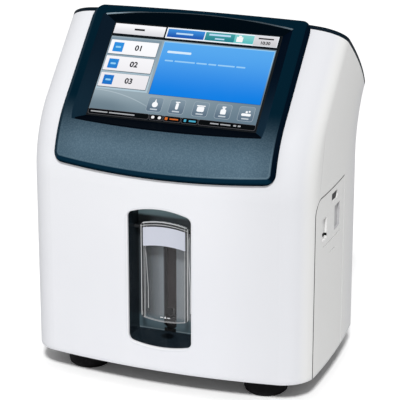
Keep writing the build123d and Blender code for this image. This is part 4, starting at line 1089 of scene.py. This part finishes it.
    def vessel(self, shape: BMesh, number: int, x: float, y: float) -> None:
        """One icon's mark: a drop, a tube, a cup, a bottle or a dish.

        Args:
            shape: The shape that grows.
            number: Which mark.
            x: Its middle across.
            y: Its middle up.
        """
        z = (0.20, 0.20 + self.thick)
        if number == 0:
            ring = bmesh.ops.create_circle(shape, cap_ends=True, radius=2.6 * MM, segments=20)["verts"]
            tip = max(ring, key=lambda vert: vert.co.y)
            tip.co.y += 3.0 * MM
            face = next(iter(tip.link_faces))
            grown = bmesh.ops.extrude_face_region(shape, geom=[face])["geom"]
            moved = [part for part in grown if isinstance(part, BMVert)]
            bmesh.ops.translate(shape, vec=(0, 0, self.thick * MM), verts=moved)
            place = self.plane.matrix @ Matrix.Translation(Vector((x, y - 1.0, z[0])) * MM)
            bmesh.ops.transform(shape, matrix=place, verts=ring + moved)
            return
        blocks = {
            1: [((-1.3, 1.3), (-3.6, 2.6), 1.2), ((-2.0, 2.0), (2.8, 3.8), 0.3)],
            2: [((-3.2, 3.2), (-3.4, 1.4), 1.2), ((-3.8, 3.8), (1.7, 2.7), 0.3)],
            3: [((-2.4, 2.4), (-3.6, 1.0), 0.9), ((-1.1, 1.1), (1.0, 2.4), 0.2),
                ((-1.7, 1.7), (2.6, 3.8), 0.4)],
            4: [((-4.2, 4.2), (-3.0, -0.6), 1.1), ((-1.0, 1.0), (-0.2, 1.8), 0.9),
                ((1.6, 3.2), (0.6, 2.2), 0.7)],
        }[number]
        for (x0, x1), (y0, y1), radius in blocks:
            Fitter.slab(shape, (x + x0, x + x1), (y + y0, y + y1), z, Corner.ROUND, radius, self.plane.matrix)

    def status_bar(self) -> None:
        """The dark pills along the foot, with small coloured marks."""
        low, high = self.status
        pills = ((-75.6, -20.2), (-19.0, -7.4), (-6.4, 8.9), (9.9, 24.2), (25.2, 75.2))
        rims = [((a - 0.3, b + 0.3), (low - 0.3, high + 0.3)) for a, b in pills]
        self.patch("status_rims", rims, 0.12, (86, 84, 88), radius=1.7)
        self.patch("status_pills", [(x, self.status) for x in pills], 0.17, (6.6, 9.9, 12.9), radius=1.6,
                   drift=0.001)
        mid = (low + high) / 2
        thin, tall, dot = (mid - 0.5, mid + 0.6), (mid - 0.6, mid + 0.8), (mid - 1.2, mid + 1.3)
        lines = [(x, thin) for x in ((-73.5, -58.0), (-56.5, -33.0), (35.5, 43.0), (44.5, 53.5))]
        lines += [((56.0, 58.5), tall), ((60.0, 62.5), tall)]
        self.patch("status_lines", lines, 0.22, (170, 172, 176), radius=0.3)
        round_dots = [(x, (mid - 1.2, mid + 1.4)) for x in ((-17.6, -14.8), (-11.6, -8.8))]
        self.patch("status_white", round_dots, 0.22, (240, 240, 240), radius=1.1)
        orange = [((-5.2, -2.8), dot), ((-1.0, 6.8), thin)]
        self.patch("status_orange", orange, 0.22, (214, 110, 40), radius=0.4)
        blue = [((12.0, 14.0), dot), ((16.4, 22.6), (mid - 0.7, mid + 0.8))]
        self.patch("status_blue", blue, 0.22, (70, 170, 200), radius=0.4)

    def clock_marks(self) -> None:
        """The clock's digits and the bars beside them."""
        self.digits("header_time", [("10:30", (63.4, 38.0))], 2.9, 0.24, self.ink)
        self.patch("header_date", [((56.5, 70.2), (41.6, 42.9))], 0.22, self.ink, drift=0.01)
        self.patch("header_label", [((-57.0, -47.5), (39.5, 41.3))], 0.17, self.ink, drift=0.01)

    def build(self) -> None:
        """Makes the whole picture."""
        self.backdrop()
        self.header()
        self.column_buttons()
        self.main_panel()
        self.icon_row()
        self.status_bar()
        self.clock_marks()


@dataclass
class FlapMark:
    """A plain opening mark at the flap's foot: a triangle between two bars, in millimetres."""

    front: float = 12.4 + SHIFT
    middle: Spot = (0.6, 63.6)
    bar: Spot = (2.6, 0.7)
    gap: float = 1.9
    radius: float = 1.3
    thickness: float = 0.12

    def build(self) -> None:
        """Makes the mark."""
        shape = bmesh.new()
        stand = Matrix.Rotation(pi / 2, 4, "X")
        place = Matrix.Translation(Vector((self.middle[0], self.front, self.middle[1])) * MM) @ stand
        length, half = self.bar[0], self.bar[1] / 2
        for start in (-self.gap - length, self.gap):
            Fitter.slab(shape, (start, start + length), (-half, half), (0.0, self.thickness), place=place)
        deep, wide = self.thickness * MM, self.radius * MM
        mark = bmesh.ops.create_cone(shape, cap_ends=True, segments=3, radius1=wide, radius2=wide, depth=deep,
                                     matrix=Matrix.Translation((0, 0, deep / 2)))
        bmesh.ops.transform(shape, matrix=place, verts=mark["verts"])
        ink = Moulding("mark_white", srgb(236, 238, 240), srgb(226, 228, 232), 0.5).build()
        Fitter.finish("flap_mark", shape, ink, "sampler_flap", "label_pale")


FINISHES = (
    (ShellMoulding("shell_white", srgb(238, 239, 243), srgb(234, 235, 240), shine=0.04),
     "front_cover rear_cover side_door"),
    (Moulding("top_dark", srgb(8, 24, 34), srgb(5, 19, 28), 0.5, shine=0.03), "top_cover printer_lid"),
    (FasciaGloss(), "display_fascia"),
    (DarkGlass(), "display_glass"),
    (LinerGloss(), "recess_liner"),
    (FlapClear("flap_clear"), "sampler_cover"),
    (Moulding("label_pale", srgb(210, 213, 225), srgb(202, 206, 218), 0.55, 400.0, shine=0.2), "cover_label"),
    (Moulding("probe_brown", srgb(34, 26, 26), srgb(28, 22, 22), 0.4, shine=0.1), "probe_holder"),
    (Moulding("black_moulding", (0.008, 0.008, 0.009), (0.011, 0.011, 0.012), 0.4, shine=0.2),
     "probe_bracket wash_port card_slot pump_rotor power_inlet switch_frame power_switch"),
    (Moulding("latch_dark", srgb(58, 58, 60), srgb(48, 48, 50), 0.5, shine=0.1), "door_latch"),
    (Rubber(), "rubber_feet platen_roller"),
    (Clear("cell_clear"), "electrode_block"),
    (Carton(), "reagent_pack"),
    (Circuit(), "main_board"),
    (Moulding("inner_grey", (0.10, 0.105, 0.115), (0.085, 0.09, 0.1)),
     "pump_body valve_block printer_mechanism printer_tray"),
    (Metal("pin_dark", (0.02, 0.022, 0.025), roughness=0.5, metallic=0.3), "cover_hinge_pins"),
    (Metal("needle_steel", (0.16, 0.165, 0.17)), "sample_probe"),
    (Metal("pin_steel", (0.6, 0.61, 0.63)), "rear_screws bracket_screws probe_pivot_pin door_hinge_pins "
     "foot_screws base_screws pump_rollers printer_lid_pins"),
    (Metal("sheet_coated", (0.32, 0.34, 0.37), (1, 1, 1), 0.5, 0.2),
     "display_bracket pack_cradle cell_bracket power_supply"),
    (Metal("plate_silver", (0.62, 0.63, 0.64), (1.0, 1.0, 40.0), 0.35), "lcd_module port_plate id_plate"),
    (Metal("base_coated", (0.03, 0.031, 0.034), (1, 1, 1), 0.55, 0.1), "base_chassis"),
    (Metal("motor_dark", (0.06, 0.062, 0.068), (8.0, 1.0, 1.0), 0.4, 0.6), "pump_motor rear_ports"),
    (Moulding("electrode_bodies", srgb(190, 192, 198), srgb(180, 183, 190), 0.3), "electrodes"),
    (Moulding("pump_tubing", srgb(214, 206, 184), srgb(204, 196, 172), 0.3), "pump_tube"),
    (Moulding("paper_white", srgb(240, 240, 236), srgb(232, 232, 226), 0.6, 500.0), "paper_roll"),
)


@dataclass
class Dress:
    """Puts a finish on every CAD node that stays."""

    nodes: dict[str, Object]

    def build(self) -> None:
        """Makes the finishes and assigns them."""
        for finish, names in FINISHES:
            material = finish.build()
            for name in names.split():
                made = self.nodes.pop(name)
                for slot in made.material_slots:
                    slot.material = material
                if not made.material_slots:
                    made.data.materials.append(material)
                log.info("%s dressed in %s", name, finish.name)
        for name in self.nodes:
            log.warning("%s has no finish", name)


@dataclass
class Studio:
    """Floor, light and camera."""

    camera_place: tuple[float, float, float] = (0.56098, -1.31169 + SHIFT * MM, 0.63586)
    yaw: float = 0.3796
    pitch: float = 0.3135
    lens: float = 162.0
    floor_half: float = 9.0
    floor_matt: float = 0.9         # how pale the floor is to the light on the object
    floor_pale: float = 1.3         # how pale the camera sees it
    floor_glow: float = 0.03
    sky: float = 0.3                # level of the sky, which camera, gloss and glass see as 1
    key_power: float = 2.3
    key_width: float = 10.0
    key_turn: tuple[float, float, float] = (43, 0, 20)

    def floor(self) -> None:
        """A plain pale floor that keeps the shadow."""
        recipe = Recipe("floor_pale")
        seen = Value(recipe, recipe.node("ShaderNodeLightPath").outputs["Is Camera Ray"])
        matt = recipe.node("ShaderNodeBsdfDiffuse", inputs={"Color": (self.floor_matt,) * 3})
        pale = recipe.node("ShaderNodeBsdfDiffuse", inputs={"Color": (self.floor_pale,) * 3})
        glow = recipe.node("ShaderNodeEmission",
                           inputs={"Color": (1.0, 1.0, 1.0), "Strength": self.floor_glow})
        both = recipe.node("ShaderNodeAddShader", inputs={0: pale.outputs[0], 1: glow.outputs[0]})
        picked = recipe.node("ShaderNodeMixShader", inputs={0: seen, 1: matt.outputs[0], 2: both.outputs[0]})
        recipe.node("ShaderNodeOutputMaterial", inputs={"Surface": picked.outputs[0]})
        shape = bmesh.new()
        bmesh.ops.create_grid(shape, x_segments=1, y_segments=1, size=self.floor_half)
        mesh = bpy.data.meshes.new("floor")
        shape.to_mesh(mesh)
        shape.free()
        mesh.materials.append(recipe.owner)
        made = bpy.data.objects.new("floor", mesh)
        bpy.context.scene.collection.objects.link(made)

    def light(self) -> None:
        """An even sky that camera, gloss and glass see as white, and one wide lamp from the front."""
        world = bpy.context.scene.world or bpy.data.worlds.new("studio")
        bpy.context.scene.world = world
        recipe = Recipe("sky", world)
        path = recipe.node("ShaderNodeLightPath").outputs
        camera, gloss, glass = (Value(recipe, path[f"Is {kind} Ray"])
                                for kind in ("Camera", "Glossy", "Transmission"))
        level = (camera + gloss + glass).least(1.0) * (1 - self.sky) + self.sky
        back = recipe.node("ShaderNodeBackground", inputs={"Color": (1.0, 1.0, 1.0), "Strength": level})
        recipe.node("ShaderNodeOutputWorld", inputs={"Surface": back.outputs[0]})
        lamp = bpy.data.lights.new("key", "SUN")
        lamp.energy, lamp.angle = self.key_power, radians(self.key_width)
        made = bpy.data.objects.new("key", lamp)
        made.rotation_euler = Euler([radians(part) for part in self.key_turn])
        bpy.context.scene.collection.objects.link(made)

    def camera(self) -> None:
        """The camera at the photograph's viewing angle."""
        data = bpy.data.cameras.new("camera")
        data.lens, data.sensor_width = self.lens, 36.0
        data.clip_end = 100.0
        made = bpy.data.objects.new("camera", data)
        made.location = self.camera_place
        made.rotation_euler = Euler((pi / 2 - self.pitch, 0, self.yaw))
        bpy.context.scene.collection.objects.link(made)
        bpy.context.scene.camera = made

    def build(self) -> None:
        """Sets the stage."""
        self.camera()
        self.floor()
        self.light()
        bpy.context.scene.view_settings.view_transform = "Standard"


def main() -> None:
    """Builds everything."""
    logging.basicConfig(level=logging.INFO, format="%(name)s: %(message)s")
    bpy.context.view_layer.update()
    Studio().build()
    Dress(dict(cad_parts)).build()
    Picture().build()
    FlapMark().build()


if __name__ == "__main__":
    main()
